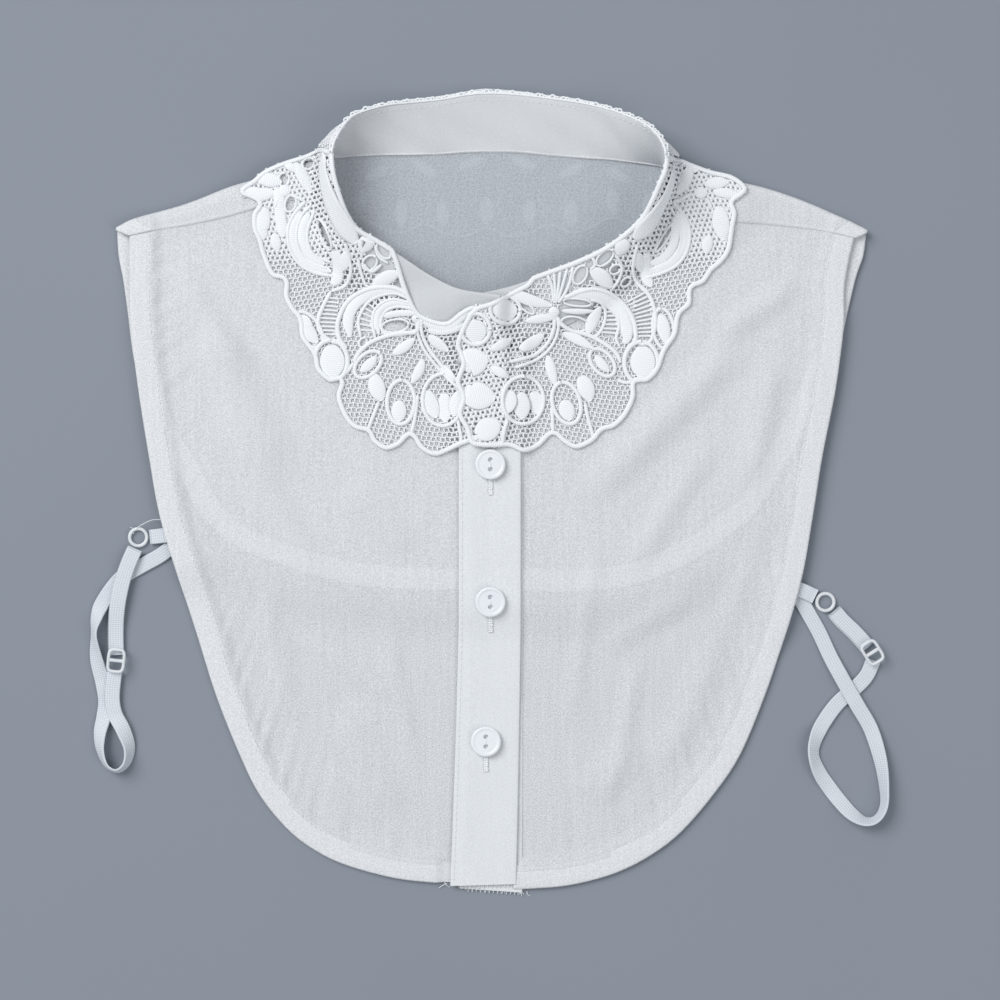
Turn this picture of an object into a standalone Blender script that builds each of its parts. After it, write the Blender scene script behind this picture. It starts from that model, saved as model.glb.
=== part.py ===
"""Detachable lace collar, unfastened from any blouse and laid flat with its front up.

Two chiffon fronts with a button placket lie on a shorter chiffon back. A stand collar rises
from the neck seam, and guipure lace hangs outside it: over the fronts, and under the back.
An elastic strap with a ring and a slider lies at each side.

Frame: metres, +Z up, Z = 0 on the surface the collar lies on, +Y towards the back of the neck,
+X to the right of someone looking down at it. Tables and sizes below are in millimetres.
"""
import math

import bmesh
import bpy
import numpy as np
from mathutils import Vector
from mathutils.geometry import delaunay_2d_cdt

MM = 0.001

# ---------------------------------------------------------------- driving sizes
CLOTH = 1.0            # wall of a chiffon panel, drawn a little thicker than the cloth
BAND = 1.2             # doubled chiffon of the stand collar
LACE = 1.2             # guipure lace
GAP = 0.35             # air left between pieces that lie on each other
SEAM = 0.95            # air left between the band and the panels' neck edges
LIFT = CLOTH + GAP     # one layer of cloth and the air above it

HEM_WIDTH = 9.0        # facing sewn inside every free edge of the fronts and the back
HEM_RAMP = 4.5         # the panel comes down from its facing over this distance
BED_RAMP = 20.0        # the fronts come down from the back's edge over this distance
LACE_RAMP = 14.0       # the back comes down from the lace under it over this distance

ELASTIC_WIDTH = 6.3
ELASTIC = 1.0
BUTTON_DIAMETER = 12.6
BUTTON_THICKNESS = 2.2
BUTTON_RIM = 1.5
BUTTON_FLOOR = 1.45    # thickness inside the rim
BUTTON_ROUND = 0.6     # rounding of the rim's edges
BUTTON_AIR = 0.1       # more air under a button that lies aslant
BUTTON_STEPS = 22
BUTTON_HOLE = 1.8
BUTTON_HOLE_PITCH = 4.2

EDGE_STEP = 8.0        # spacing of points along cut edges
PANEL_STEP = 15.0      # spacing of points inside a panel
RAMP_STEP = 7.0        # the same where a panel rises over what it lies on
LACE_STEP = 6.5
SCALLOP_STEP = 4.2     # spacing of points along the lace's scallops
FOLD_STEP = 5.0        # spacing of points along a line where cloth or lace turns over
POINT_CLEAR = 0.55     # inner points stay this share of their spacing from every line
POINT_CLEAR_MOST = 4.5
TRACE_STEP = 1.0       # spacing of points on a line that is resampled afterwards

PLACKET_LEFT = -13.5   # stitched edge of the placket
PLACKET_RIGHT = 12.8   # free edge of the placket
PLACKET_TOP_Y = 59.2
PLACKET_BOTTOM_Y = (-165.2, -164.4)    # at the left corner and at the right corner
STAND_BOTTOM_Y = (-166.4, -168.2)
STAND_LEFT = -10.8     # hidden edge of the button stand
STAND_RIGHT = 13.6
FACING_END = PLACKET_LEFT - 5.0        # the left hem's facing has tapered away here
FRONT_LEFT_EDGE = -11.4
FRONT_RIGHT_EDGE = 14.2

# ---------------------------------------------------------------- outlines, x y
LEFT_EDGE = [
    (-151.0, 108.6), (-151.0, 97.5), (-151.0, 80.5), (-150.0, 64.0), (-147.0, 40.5), (-143.0, 15.5),
    (-138.5, -9.5), (-131.0, -35.0), (-123.0, -60.0), (-115.0, -85.5), (-105.0, -110.5),
    (-96.5, -127.5), (-84.0, -142.5), (-71.5, -151.5), (-59.0, -157.0), (-40.0, -162.0),
    (-22.0, -164.0), (FRONT_LEFT_EDGE, -164.5)]
RIGHT_EDGE = [
    (152.5, 107.6), (150.0, 97.5), (148.0, 85.0), (148.0, 72.0), (146.5, 57.5), (144.0, 40.5),
    (139.0, 15.5), (135.0, -9.5), (130.5, -35.0), (123.5, -60.0), (115.0, -85.5), (104.5, -110.5),
    (93.0, -127.5), (79.5, -143.0), (67.0, -152.5), (54.5, -159.0), (42.0, -163.0), (29.0, -165.5),
    (FRONT_RIGHT_EDGE, -166.5)]
LEFT_SHOULDER_SEAM = [
    (-151.0, 109.0), (-139.0, 111.5), (-126.5, 113.5), (-110.0, 117.0), (-97.5, 120.5), (-84.0, 123.5),
    (-73.4, 125.5)]
RIGHT_SHOULDER_SEAM = [
    (152.5, 108.0), (138.5, 111.0), (122.0, 113.0), (111.0, 114.0), (102.0, 114.5), (88.0, 117.0),
    (75.8, 120.2)]
# The shoulder folds, where the back turns over to the front, from the armhole to the neck.
LEFT_FOLD = [
    (-156.5, 111.0), (-148.5, 114.8), (-128.5, 120.5), (-110.0, 127.5), (-94.5, 132.0), (-80.0, 137.0),
    (-72.6, 139.4)]
RIGHT_FOLD = [
    (157.5, 110.0), (149.5, 114.0), (132.5, 121.5), (116.5, 127.0), (100.5, 130.5), (88.0, 133.0),
    (77.6, 135.2)]
BACK_EDGE = [
    (-156.5, 111.0), (-156.0, 99.5), (-154.0, 89.0), (-152.0, 74.5), (-149.5, 55.5), (-144.5, 34.5),
    (-138.0, 19.5), (-131.5, 9.0), (-125.5, -2.5), (-118.0, -13.0), (-107.5, -22.5), (-94.5, -28.0),
    (-80.0, -33.0), (-61.0, -38.0), (-38.0, -40.5), (-14.0, -41.0), (13.5, -41.0), (29.0, -42.0),
    (46.0, -41.0), (63.0, -38.0), (79.5, -31.5), (94.5, -22.5), (102.5, -16.0), (110.0, -10.5),
    (118.0, 1.5), (126.0, 15.5), (132.0, 28.0), (139.0, 43.0), (146.0, 59.5), (149.5, 74.5),
    (153.5, 91.0), (156.5, 99.5), (157.5, 110.0)]
# Everything under the fronts: the back, its facing and the ends of the straps.
BACK_BED = [
    (-168.0, 127.0), (-166.0, 68.0), (-156.5, 30.0), (-149.5, -3.5), (-144.0, -25.0), (-135.5, -31.0),
    (-124.0, -27.0), (-114.5, -24.0), (-103.0, -29.5), (-84.0, -35.5), (-61.0, -41.0), (-38.0, -43.5),
    (-14.0, -44.5), (13.5, -44.5), (29.0, -45.5), (46.0, -44.5), (63.0, -41.5), (79.5, -35.0),
    (93.0, -28.5), (102.5, -29.5), (115.5, -41.0), (125.0, -52.0), (135.0, -50.5), (140.5, -28.5),
    (144.5, 5.0), (155.0, 38.5), (165.5, 68.0), (168.0, 127.0), (90.0, 180.0), (-90.0, 180.0)]
# Everything under the back: the lace that hangs behind the neck.
LACE_BED = [
    (-80.0, 143.5), (-96.0, 136.0), (-106.0, 128.0), (-103.0, 116.5), (-90.5, 111.0), (-67.5, 106.5),
    (-38.0, 104.0), (0.0, 102.0), (37.5, 104.0), (67.0, 106.0), (88.0, 109.0), (102.5, 115.0),
    (107.0, 123.5), (96.5, 135.5), (84.0, 142.5), (71.0, 154.0), (50.0, 165.5), (0.0, 172.5),
    (-50.5, 163.5), (-67.5, 153.0)]

# ---------------------------------------------------------------- stand collar
# One row for each station round the neck, from the left front end round the back to the right
# front end: the seam (x, y), the top edge (x, y), and the height of the top edge above the surface.
BAND_STATIONS = [
    # seam_x, seam_y, edge_x, edge_y, edge_z
    (4.0, 60.5, 4.0, 82.0, 10.6),
    (-12.0, 62.5, -12.5, 84.5, 9.6),
    (-25.5, 66.0, -24.5, 90.0, 8.8),
    (-38.0, 72.0, -36.0, 97.5, 9.2),
    (-49.0, 80.0, -46.5, 104.0, 11.0),
    (-58.0, 89.0, -55.0, 109.0, 13.0),
    (-65.0, 99.5, -59.5, 115.5, 16.0),
    (-69.5, 111.0, -62.5, 123.5, 19.5),
    (-71.5, 122.0, -64.5, 131.0, 21.5),
    (-71.8, 130.5, -65.2, 137.5, 22.5),
    (-71.4, 137.2, -64.8, 142.5, 22.3),
    (-69.0, 140.2, -63.0, 147.0, 20.5),
    (-63.5, 140.6, -60.5, 151.5, 17.5),
    (-56.0, 140.8, -56.0, 156.5, 13.5),
    (-44.5, 141.0, -44.5, 160.8, 9.0),
    (-32.5, 141.0, -33.5, 162.5, 6.0),
    (-20.5, 141.3, -21.0, 164.0, 4.4),
    (-10.5, 142.0, -10.5, 166.0, 3.6),
    (0.0, 142.2, -1.0, 166.8, 3.4),
    (11.5, 142.0, 11.5, 166.2, 3.6),
    (24.5, 140.8, 25.0, 164.5, 4.4),
    (37.5, 139.8, 38.5, 162.3, 6.0),
    (50.5, 139.0, 50.5, 159.0, 9.0),
    (60.5, 138.0, 60.5, 154.5, 13.5),
    (67.5, 137.4, 66.5, 150.3, 17.5),
    (73.0, 136.2, 70.8, 144.5, 20.5),
    (75.3, 132.5, 72.3, 138.5, 22.3),
    (75.0, 126.0, 71.8, 132.5, 22.5),
    (72.5, 119.0, 70.0, 128.0, 21.5),
    (69.0, 109.5, 67.0, 121.0, 19.5),
    (63.5, 98.5, 62.8, 113.5, 16.0),
    (56.0, 88.0, 55.5, 106.5, 13.0),
    (46.5, 79.0, 46.5, 100.5, 11.0),
    (35.5, 71.5, 35.5, 95.5, 9.0),
    (22.5, 65.5, 23.0, 91.0, 7.8),
    (9.0, 62.0, 9.0, 86.0, 7.2),
    (-7.0, 60.5, -6.0, 82.5, 7.0)]
BAND_LAP = 1.7         # the band's left end lies this much above its right end
BAND_LAP_LENGTH = 18.0
BAND_LAP_RAMP = 8.0
SEAM_CLIMB = 2.5       # stations over which the seam climbs at a shoulder fold
BAND_COUNT = 85        # points along the seam, one for every column of the band's wall

# ---------------------------------------------------------------- lace outlines, x y
LACE_LEFT_OUTER = [
    (-65.2, 140.5), (-71.0, 143.0), (-78.5, 140.5), (-86.5, 138.0), (-94.5, 134.5), (-99.5, 130.5),
    (-104.0, 127.5), (-104.5, 124.5), (-100.0, 122.5), (-97.0, 120.5), (-99.5, 116.5), (-99.5, 110.0),
    (-97.5, 105.5), (-96.0, 99.5), (-92.0, 90.5), (-86.5, 88.5), (-86.5, 82.0), (-84.0, 76.5),
    (-80.5, 72.0), (-79.5, 64.5), (-74.5, 57.5), (-73.0, 51.0), (-67.5, 46.0), (-62.8, 46.5),
    (-64.5, 40.0), (-61.5, 31.5), (-57.0, 26.5), (-51.5, 25.0), (-49.5, 21.0), (-44.0, 17.5),
    (-38.0, 19.5), (-33.5, 23.5), (-29.5, 18.0), (-23.5, 15.0), (-17.0, 17.0), (-12.0, 19.5),
    (-4.5, 22.0), (2.0, 26.0)]
LACE_LEFT_INNER = [
    (2.0, 68.0), (-1.0, 76.0), (-4.0, 77.5), (-8.5, 77.5), (-13.0, 75.0), (-17.5, 71.5), (-21.0, 71.5),
    (-26.0, 73.0), (-30.0, 75.5), (-33.5, 82.0), (-36.0, 89.0), (-38.0, 96.0)]
LACE_RIGHT_OUTER = [
    (72.2, 138.5), (78.5, 139.5), (85.0, 137.0), (92.0, 134.5), (100.5, 132.5), (105.5, 129.5),
    (107.5, 126.5), (105.0, 123.5), (101.5, 121.0), (103.0, 117.0), (102.0, 111.0), (100.5, 101.5),
    (97.0, 96.0), (93.0, 92.5), (89.5, 87.5), (84.5, 85.0), (84.0, 78.5), (79.5, 74.0), (78.0, 66.0),
    (73.5, 59.0), (70.5, 51.0), (65.5, 46.0), (60.8, 46.0), (60.5, 39.5), (57.0, 32.0), (52.0, 27.0),
    (47.0, 25.5), (43.0, 21.0), (36.0, 18.0), (30.5, 20.5), (26.0, 24.0), (20.5, 19.0), (14.0, 16.5),
    (8.0, 18.8), (2.5, 18.6), (-3.0, 18.7), (-8.5, 20.0), (-10.5, 26.0), (-13.8, 32.5), (-12.2, 39.5),
    (-14.6, 46.0), (-12.2, 54.0), (-14.5, 61.5), (-12.0, 69.0)]
LACE_RIGHT_INNER = [(-9.0, 74.5), (-5.5, 77.5), (1.0, 79.5), (8.0, 83.5), (15.0, 87.0)]
LACE_BACK_FOLD = [
    (-72.5, 144.8), (-69.5, 148.0), (-65.8, 151.8), (-59.0, 156.6), (-52.0, 160.0), (-36.5, 164.2),
    (-21.0, 166.0), (-8.5, 168.2), (-1.5, 169.0), (11.5, 168.0), (23.0, 166.5), (35.5, 165.0),
    (47.0, 162.5), (56.5, 158.5), (65.0, 153.8), (71.5, 148.8), (77.0, 143.5), (79.5, 140.5)]
LACE_BACK_SCALLOPS = [
    (79.5, 140.5), (93.0, 131.5), (99.0, 126.5), (94.5, 121.5), (85.5, 119.0), (76.0, 120.0), (69.0, 115.0),
    (60.5, 111.5), (51.5, 114.5), (43.5, 110.5), (34.0, 108.0), (24.5, 111.5), (16.5, 108.0),
    (7.5, 106.5), (-1.5, 110.0), (-10.5, 106.5), (-20.0, 108.0), (-28.0, 111.5), (-37.5, 108.0),
    (-47.0, 110.5), (-55.0, 114.5), (-63.5, 111.5), (-72.5, 115.0), (-79.5, 120.0), (-89.0, 119.0),
    (-97.0, 122.5), (-99.5, 127.0), (-90.0, 133.0), (-80.0, 139.5), (-72.5, 144.8)]

BACK_LACE_END_Y = 146.5    # the back lace's wall ends here at both sides
# Rows up that wall: the share of its height, and how far it has leant from the fold to the band.
BACK_LACE_ROWS = ((0.18, 0.02), (0.6, 0.5), (1.0, 1.0))

# Openings cut through the lace, one row each.
LACE_OPENINGS = [
    # x, y, length, width, turn in degrees
    (-50.6, 96.2, 6.4, 5.2, 45),
    (-38.2, 90.6, 6.6, 4.4, 60),
    (-84.6, 119.6, 7.6, 5.0, 75),
    (-75.8, 137.2, 5.2, 4.2, 20),
    (-86.4, 130.6, 5.2, 4.2, 80),
    (-69.0, 107.6, 12.6, 4.1, 112),
    (-39.8, 69.0, 10.5, 5.0, 8),
    (48.0, 99.2, 8.4, 4.1, 150),
    (37.4, 90.2, 6.6, 5.6, 120),
    (14.8, 72.0, 7.4, 4.1, 165),
    (35.4, 69.2, 11.0, 4.4, 172),
    (83.0, 117.0, 6.4, 4.6, 100)]
# Padded petals and leaves that stand up from the lace, one row each.
LACE_PETALS = [
    # x, y, length, width, turn in degrees
    (-66.8, 55.4, 16.0, 13.5, 100),
    (-51.0, 55.8, 13.0, 7.5, 60),
    (-46.8, 43.8, 12.0, 8.0, 75),
    (-37.6, 35.3, 15.0, 10.5, 95),
    (-35.6, 61.2, 11.0, 4.5, 30),
    (-30.8, 50.8, 11.0, 4.5, 72),
    (-21.2, 61.4, 11.0, 5.0, 150),
    (-93.5, 116.0, 14.0, 8.0, 80),
    (-80.0, 130.5, 12.0, 6.0, 110),
    (-96.5, 126.0, 11.0, 5.0, 10)]
FOLD_FOOT = 0.9        # what the lace reaches down to just past a shoulder fold
LACE_LAP = 3.2         # lift of the right lace where it lies over the left one
LACE_AXIS_X = -1.6     # the right lace's petals mirror the left lace's about this line
LACE_LAP_LEVEL = 3.0   # the lap keeps its lift this far past the left lace, then
LACE_LAP_RAMP = 6.0    # comes down over this distance
PETAL_RISE = 0.7
PETAL_SHARE = 0.8      # size of a petal's raised plateau against the petal
OPENING_MARGIN = 2.0   # lace left round each opening
PETAL_MARGIN = 1.0
LACE_AIR = 0.55        # air between the front lace and what it hangs over
BACK_LACE_AIR = 0.5    # air between the back lace and the band

# ---------------------------------------------------------------- soft folds of the fronts
FOLDS = [
    # start_x, start_y, end_x, end_y, half width, height
    (-118.0, 68.0, -88.0, 8.0, 15.0, 2.6),
    (-60.0, 2.0, -34.0, -24.0, 11.0, 1.4),
    (102.0, 60.0, 42.0, 0.0, 12.0, 2.6),
    (122.0, 56.0, 108.0, 2.0, 13.0, 2.0),
    (100.0, -62.0, 74.0, -120.0, 15.0, 1.8),
    (-62.0, -92.0, -40.0, -132.0, 15.0, 1.4),
    (40.0, -128.0, 62.0, -108.0, 12.0, 1.2)]
FOLD_END = 0.35        # share of a fold's length over which each end dies out
FOLD_CALM_EDGE = 15.0  # no folds this near an edge
FOLD_CALM_MIDDLE = 17.0
FOLD_CALM_RAMP = 14.0

# ---------------------------------------------------------------- straps, routes x y
# Each row of a route is x, y, the layers of elastic below it, and the ribbon's lean in degrees, from
# 0 where it lies flat to 90 where it stands on its edge. A ring is x, y. A slider is x, y, the height
# of its underside, and its turn in degrees.
RIBBON_STEP = 4.0      # spacing of points along a strap
RIBBON_AIR = 0.02      # air left under a strap that leans
RING_RADIUS = 3.6
RING_WIRE = 0.75
RING_COUNT = 24        # points round a ring, and round its wire
WIRE_COUNT = 6
SIDES = {
    "left": {
        "ring": (-147.9, -19.0),
        "slider": (-156.8, -70.6, 2.75, 84.0),
        "tab": [(-131.5, -17.5, 1.0, 0), (-137.5, -18.3, 1.0, 0), (-143.0, -18.9, 0.3, 0)],
        "short": [
            (-149.4, -23.9, 0.6, 0), (-152.0, -30.0, 1.0, 0), (-154.4, -37.0, 1.05, 0),
            (-156.2, -45.0, 1.0, 0), (-157.2, -52.0, 0.5, 0), (-157.6, -59.0, 0.0, 0),
            (-157.4, -68.6, 0.0, 0)],
        "loop": [
            (-123.5, -14.0, 0, 0), (-130.5, -20.0, 0, 0), (-138.0, -26.2, 0, 0), (-146.5, -31.0, 0, 0),
            (-155.5, -36.5, 0, 0), (-162.6, -46.0, 0, 0), (-165.2, -52.5, 0, 35),
            (-166.2, -59.5, 0, 65), (-165.4, -69.5, 0, 30),
            (-163.0, -79.0, 0, 0), (-161.6, -87.5, 0, 0), (-162.4, -94.5, 0, 10), (-163.8, -101.0, 0, 30),
            (-163.6, -108.0, 0, 55), (-161.0, -114.6, 0, 72), (-156.5, -117.0, 0, 75),
            (-152.4, -113.6, 0, 70), (-151.4, -107.0, 0.1, 50), (-154.0, -99.5, 1, 20),
            (-157.4, -93.2, 1, 0), (-158.6, -86.0, 1, 0), (-157.6, -75.0, 1, 0)]},
    "right": {
        "ring": (140.6, -46.2),
        "slider": (160.0, -67.2, 2.4, 122.0),
        "tab": [(126.5, -39.6, 1.0, 0), (132.0, -41.9, 1.0, 0), (136.2, -43.9, 0.8, 0)],
        "short": [
            (143.8, -50.0, 0.0, 0), (147.5, -54.3, 0.0, 0), (153.0, -59.6, 0.0, 0), (158.0, -65.2, 0.0, 0)],
        "loop": [
            (108.5, -18.5, 0, 0), (117.5, -28.5, 0, 0), (125.5, -38.0, 0, 0), (130.4, -45.6, 0, 0),
            (133.8, -51.5, 0, 0), (138.0, -59.0, 0, 0), (142.6, -69.0, 0.4, 0), (146.6, -76.6, 1, 0),
            (150.4, -83.4, 1, 0), (154.2, -90.0, 1, 0), (159.6, -99.5, 0.3, 10), (163.4, -112.0, 0, 35),
            (165.0, -124.0, 0, 60), (164.8, -132.0, 0, 70), (161.8, -137.0, 0, 72), (157.0, -138.0, 0, 60),
            (151.6, -135.0, 0, 30), (147.0, -130.2, 0, 10), (142.6, -124.6, 0, 0), (138.2, -118.0, 0, 20),
            (135.6, -111.0, 0, 40), (136.0, -105.0, 0, 30), (139.4, -97.5, 0, 0), (145.5, -89.0, 0, 0),
            (153.2, -82.2, 0, 0), (158.0, -77.0, 0, 0), (160.8, -70.6, 0, 0)]}}
SLIDER_LENGTH = 10.5
SLIDER_WIDTH = 7.8
SLIDER_THICKNESS = 1.8
SLIDER_FRAME = 1.3     # width of the slider's frame and of its middle bar
SLIDER_CORNER = 2.0

BUTTONS = [(0.0, 11.5), (0.0, -46.0), (-1.9, -104.5)]


# ---------------------------------------------------------------- lines and outlines in plan
def spline(points, step):
    """Smooth line through hand-set points (Catmull-Rom), with a point about every `step` mm."""
    knots = np.array(points, float)
    padded = np.vstack([2 * knots[0] - knots[1], knots, 2 * knots[-1] - knots[-2]])
    t = np.linspace(0, 1, 12, endpoint=False)[:, None]
    pieces = []
    for a, b, c, d in zip(padded, padded[1:], padded[2:], padded[3:]):
        pieces.append(b + 0.5 * t * (c - a) + t ** 2 * (a - 2.5 * b + 2 * c - 0.5 * d)
                      + t ** 3 * (1.5 * (b - c) + 0.5 * (d - a)))
    fine = np.vstack(pieces + [knots[-1:]])
    run = np.concatenate([[0], np.cumsum(np.linalg.norm(np.diff(fine, axis=0), axis=1))])
    count = max(2, int(round(run[-1] / step)) + 1)
    stations = np.linspace(0, run[-1], count)
    return np.column_stack([np.interp(stations, run, column) for column in fine.T])


def along(line, count):
    """The same line with `count` evenly spaced points."""
    run = np.concatenate([[0], np.cumsum(np.linalg.norm(np.diff(line, axis=0), axis=1))])
    stations = np.linspace(0, run[-1], count)
    return np.column_stack([np.interp(stations, run, column) for column in line.T])


def side_step(line, distance):
    """The line moved sideways, to its left where the distance is positive."""
    tangent = np.gradient(line[:, :2], axis=0)
    tangent /= np.linalg.norm(tangent, axis=1)[:, None]
    moved = line.copy()
    moved[:, 0] -= distance * tangent[:, 1]
    moved[:, 1] += distance * tangent[:, 0]
    return moved


def distance_to(points, line, closed):
    """Plan distance from each point to the nearest place on a line."""
    start = line if closed else line[:-1]
    end = np.roll(line, -1, axis=0) if closed else line[1:]
    span = end - start
    offset = points[:, None, :] - start[None]
    share = np.clip((offset * span).sum(2) / np.maximum((span ** 2).sum(1), 1e-9), 0, 1)
    return np.linalg.norm(offset - share[..., None] * span, axis=2).min(1)


def is_inside(points, ring):
    """True for the points that an outline goes round, by counting crossings to their right."""
    x, y = points[:, 0, None], points[:, 1, None]
    x0, y0 = ring[None, :, 0], ring[None, :, 1]
    x1, y1 = np.roll(ring[:, 0], -1)[None], np.roll(ring[:, 1], -1)[None]
    straddles = (y0 > y) != (y1 > y)
    rise = np.where(y1 == y0, 1.0, y1 - y0)
    return (straddles & (x < x0 + (y - y0) * (x1 - x0) / rise)).sum(1) % 2 == 1


def smooth(share):
    """0 to 1 with level ends."""
    share = np.clip(share, 0, 1)
    return share * share * (3 - 2 * share)


def rise(points, ring, ramp):
    """1 on an outline and inside it, 0 further than `ramp` outside it."""
    outside = np.where(is_inside(points, ring), 0.0, distance_to(points, ring, True))
    return smooth(1 - outside / ramp)


def on_ramp(points, ring, ramp):
    """True where a sheet climbs on to what it lies on."""
    share = rise(points, ring, ramp)
    return (share > 0.0) & (share < 0.999)


def hexagonal(low, high, step):
    """Evenly spread points over a box in plan."""
    rows = np.arange(low[1], high[1], step * math.sqrt(0.75))
    columns = np.arange(low[0], high[0], step)
    x, y = np.meshgrid(columns, rows)
    x[1::2] += step / 2
    return np.column_stack([x.ravel(), y.ravel()])


def fill(ring, holes=(), lines=(), step=PANEL_STEP, ramp=None):
    """Points and triangles that fill an outline round its holes, with edges along the given lines.

    `ramp` is an outline and a width: the points are closer where the sheet climbs on to that outline.
    Also returns the place of each outline point among the points.
    """
    rings = [np.asarray(ring)] + [np.asarray(hole) for hole in holes]
    closed = [(loop, True) for loop in rings] + [(np.asarray(line), False) for line in lines]
    low, high = rings[0].min(0), rings[0].max(0)
    seeds = hexagonal(low, high, step)
    spacing = np.full(len(seeds), step)
    if ramp is not None:
        dense = hexagonal(low, high, RAMP_STEP)
        seeds = seeds[~on_ramp(seeds, *ramp)]
        dense = dense[on_ramp(dense, *ramp)]
        spacing = np.concatenate([np.full(len(seeds), step), np.full(len(dense), RAMP_STEP)])
        seeds = np.vstack([seeds, dense])
    keep = is_inside(seeds, rings[0])
    for line, loop in closed:
        keep &= distance_to(seeds, line, loop) > np.minimum(POINT_CLEAR * spacing, POINT_CLEAR_MOST)
    for hole in rings[1:]:
        keep &= ~is_inside(seeds, hole)
    coordinates = []
    edges = []
    for line, loop in closed:
        first = len(coordinates)
        coordinates.extend(Vector(point) for point in line)
        count = len(line)
        edges.extend((first + i, first + (i + 1) % count) for i in range(count if loop else count - 1))
    coordinates.extend(Vector(point) for point in seeds[keep])
    points, _, triangles, origins, _, _ = delaunay_2d_cdt(coordinates, edges, [], 0, 1e-4)
    points = np.array([tuple(point) for point in points])
    triangles = np.array([tuple(triangle) for triangle in triangles])
    centres = points[triangles].mean(1)
    kept = is_inside(centres, rings[0])
    for hole in rings[1:]:
        kept &= ~is_inside(centres, hole)
    triangles = triangles[kept]
    side = points[triangles]
    turn = np.cross(side[:, 1] - side[:, 0], side[:, 2] - side[:, 0])
    triangles[turn < 0] = triangles[turn < 0][:, ::-1]
    used, numbers = np.unique(triangles, return_inverse=True)
    new_place = {int(old): new for new, old in enumerate(used)}
    ring_places = {source: new_place[place] for place, sources in enumerate(origins)
                   for source in sources if place in new_place}
    return points[used], numbers.reshape(triangles.shape), ring_places


# ---------------------------------------------------------------- heights of what lies below
BACK_BED_RING = np.array(BACK_BED)
LACE_BED_RING = np.array(LACE_BED)
LEFT_EDGE_LINE = spline(LEFT_EDGE, EDGE_STEP)
RIGHT_EDGE_LINE = spline(RIGHT_EDGE, EDGE_STEP)


def back_bed(points):
    """Underside of the back: on the surface, or on the lace."""
    return LIFT * rise(points, LACE_BED_RING, LACE_RAMP)


def front_bed(points):
    """Underside of the fronts' facings: on the surface, or on the back and its facing."""
    return back_bed(points) + 2 * LIFT * rise(points, BACK_BED_RING, BED_RAMP)


def hem_rise(points, edge):
    """Lift of a front over its own facing: full along the edge, none past the facing."""
    inward = distance_to(points, edge, False) - HEM_WIDTH - GAP
    fade = np.where(points[:, 0] < 0, smooth((FACING_END - points[:, 0]) / (PLACKET_LEFT - FACING_END)), 1.0)
    return LIFT * smooth(1 - inward / HEM_RAMP) * fade


def fold_rise(points, edge):
    """Soft ridges in a front, dying out towards its edges."""
    height = np.zeros(len(points))
    for start_x, start_y, end_x, end_y, half_width, top in FOLDS:
        start = np.array([start_x, start_y])
        span = np.array([end_x - start_x, end_y - start_y])
        offset = points - start
        share = (offset @ span) / (span @ span)
        across = np.abs(offset[:, 0] * span[1] - offset[:, 1] * span[0]) / np.linalg.norm(span)
        ends = smooth((0.5 + FOLD_END / 3 - np.abs(share - 0.5)) / FOLD_END)
        height = np.maximum(height, top * smooth(1 - across / half_width) * ends)
    calm = smooth((distance_to(points, edge, False) - FOLD_CALM_EDGE) / FOLD_CALM_RAMP)
    return height * calm * smooth((np.abs(points[:, 0]) - FOLD_CALM_MIDDLE) / FOLD_CALM_RAMP)


def front_middle(points, edge):
    """Height of the middle of a front's cloth."""
    return front_bed(points) + hem_rise(points, edge) + fold_rise(points, edge) + CLOTH / 2


# ---------------------------------------------------------------- materials and bodies
def srgb(code):
    """Linear colour from an sRGB hex value."""
    parts = [int(code[i:i + 2], 16) / 255 for i in (0, 2, 4)]
    return [part / 12.92 if part <= 0.04045 else ((part + 0.055) / 1.055) ** 2.4 for part in parts]


def make_material(name, colour, roughness, alpha=1.0):
    material = bpy.data.materials.new(name)
    material.use_nodes = True
    shader = material.node_tree.nodes["Principled BSDF"]
    shader.inputs["Base Color"].default_value = (*srgb(colour), 1.0)
    shader.inputs["Roughness"].default_value = roughness
    shader.inputs["Metallic"].default_value = 0.0
    shader.inputs["Alpha"].default_value = alpha
    return material


def add_body(name, vertices, faces, material):
    """One mesh object; vertices are in millimetres."""
    mesh = bpy.data.meshes.new(name)
    mesh.from_pydata([tuple(vertex) for vertex in np.asarray(vertices) * MM], [],
                     [tuple(int(i) for i in face) for face in faces])
    mesh.materials.append(material)
    mesh.shade_smooth()
    mesh.set_sharp_from_angle(angle=math.radians(35))
    body = bpy.data.objects.new(name, mesh)
    bpy.context.scene.collection.objects.link(body)
    return body


def corner_normals(middle, faces):
    """Unit normals at the points of a surface, each face counted by its area."""
    normals = np.zeros_like(middle)
    for face in faces:
        corners = middle[list(face)]
        across = np.cross(corners[1] - corners[0], corners[2] - corners[0])
        if len(face) == 4:
            across = across + np.cross(corners[2] - corners[0], corners[3] - corners[0])
        for corner in face:
            normals[corner] += across
    return normals / np.linalg.norm(normals, axis=1)[:, None]


def add_wall(name, middle, faces, thickness, material, relief=None):
    """Closed wall of even thickness about a middle surface; relief is added on its upper side."""
    faces = [tuple(int(i) for i in face) for face in faces]
    normals = corner_normals(middle, faces)
    upper = thickness / 2 + (np.zeros(len(middle)) if relief is None else relief)
    top = middle + normals * upper[:, None]
    bottom = middle - normals * thickness / 2
    count = len(middle)
    borders = {}
    for face in faces:
        for a, b in zip(face, face[1:] + face[:1]):
            borders[(a, b)] = (b, a) not in borders
            if (b, a) in borders:
                borders[(b, a)] = False
    walls = [(a + count, b + count, b, a) for (a, b), free in borders.items() if free]
    under = [tuple(i + count for i in reversed(face)) for face in faces]
    return add_body(name, np.vstack([top, bottom]), faces + under + walls, material)


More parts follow.
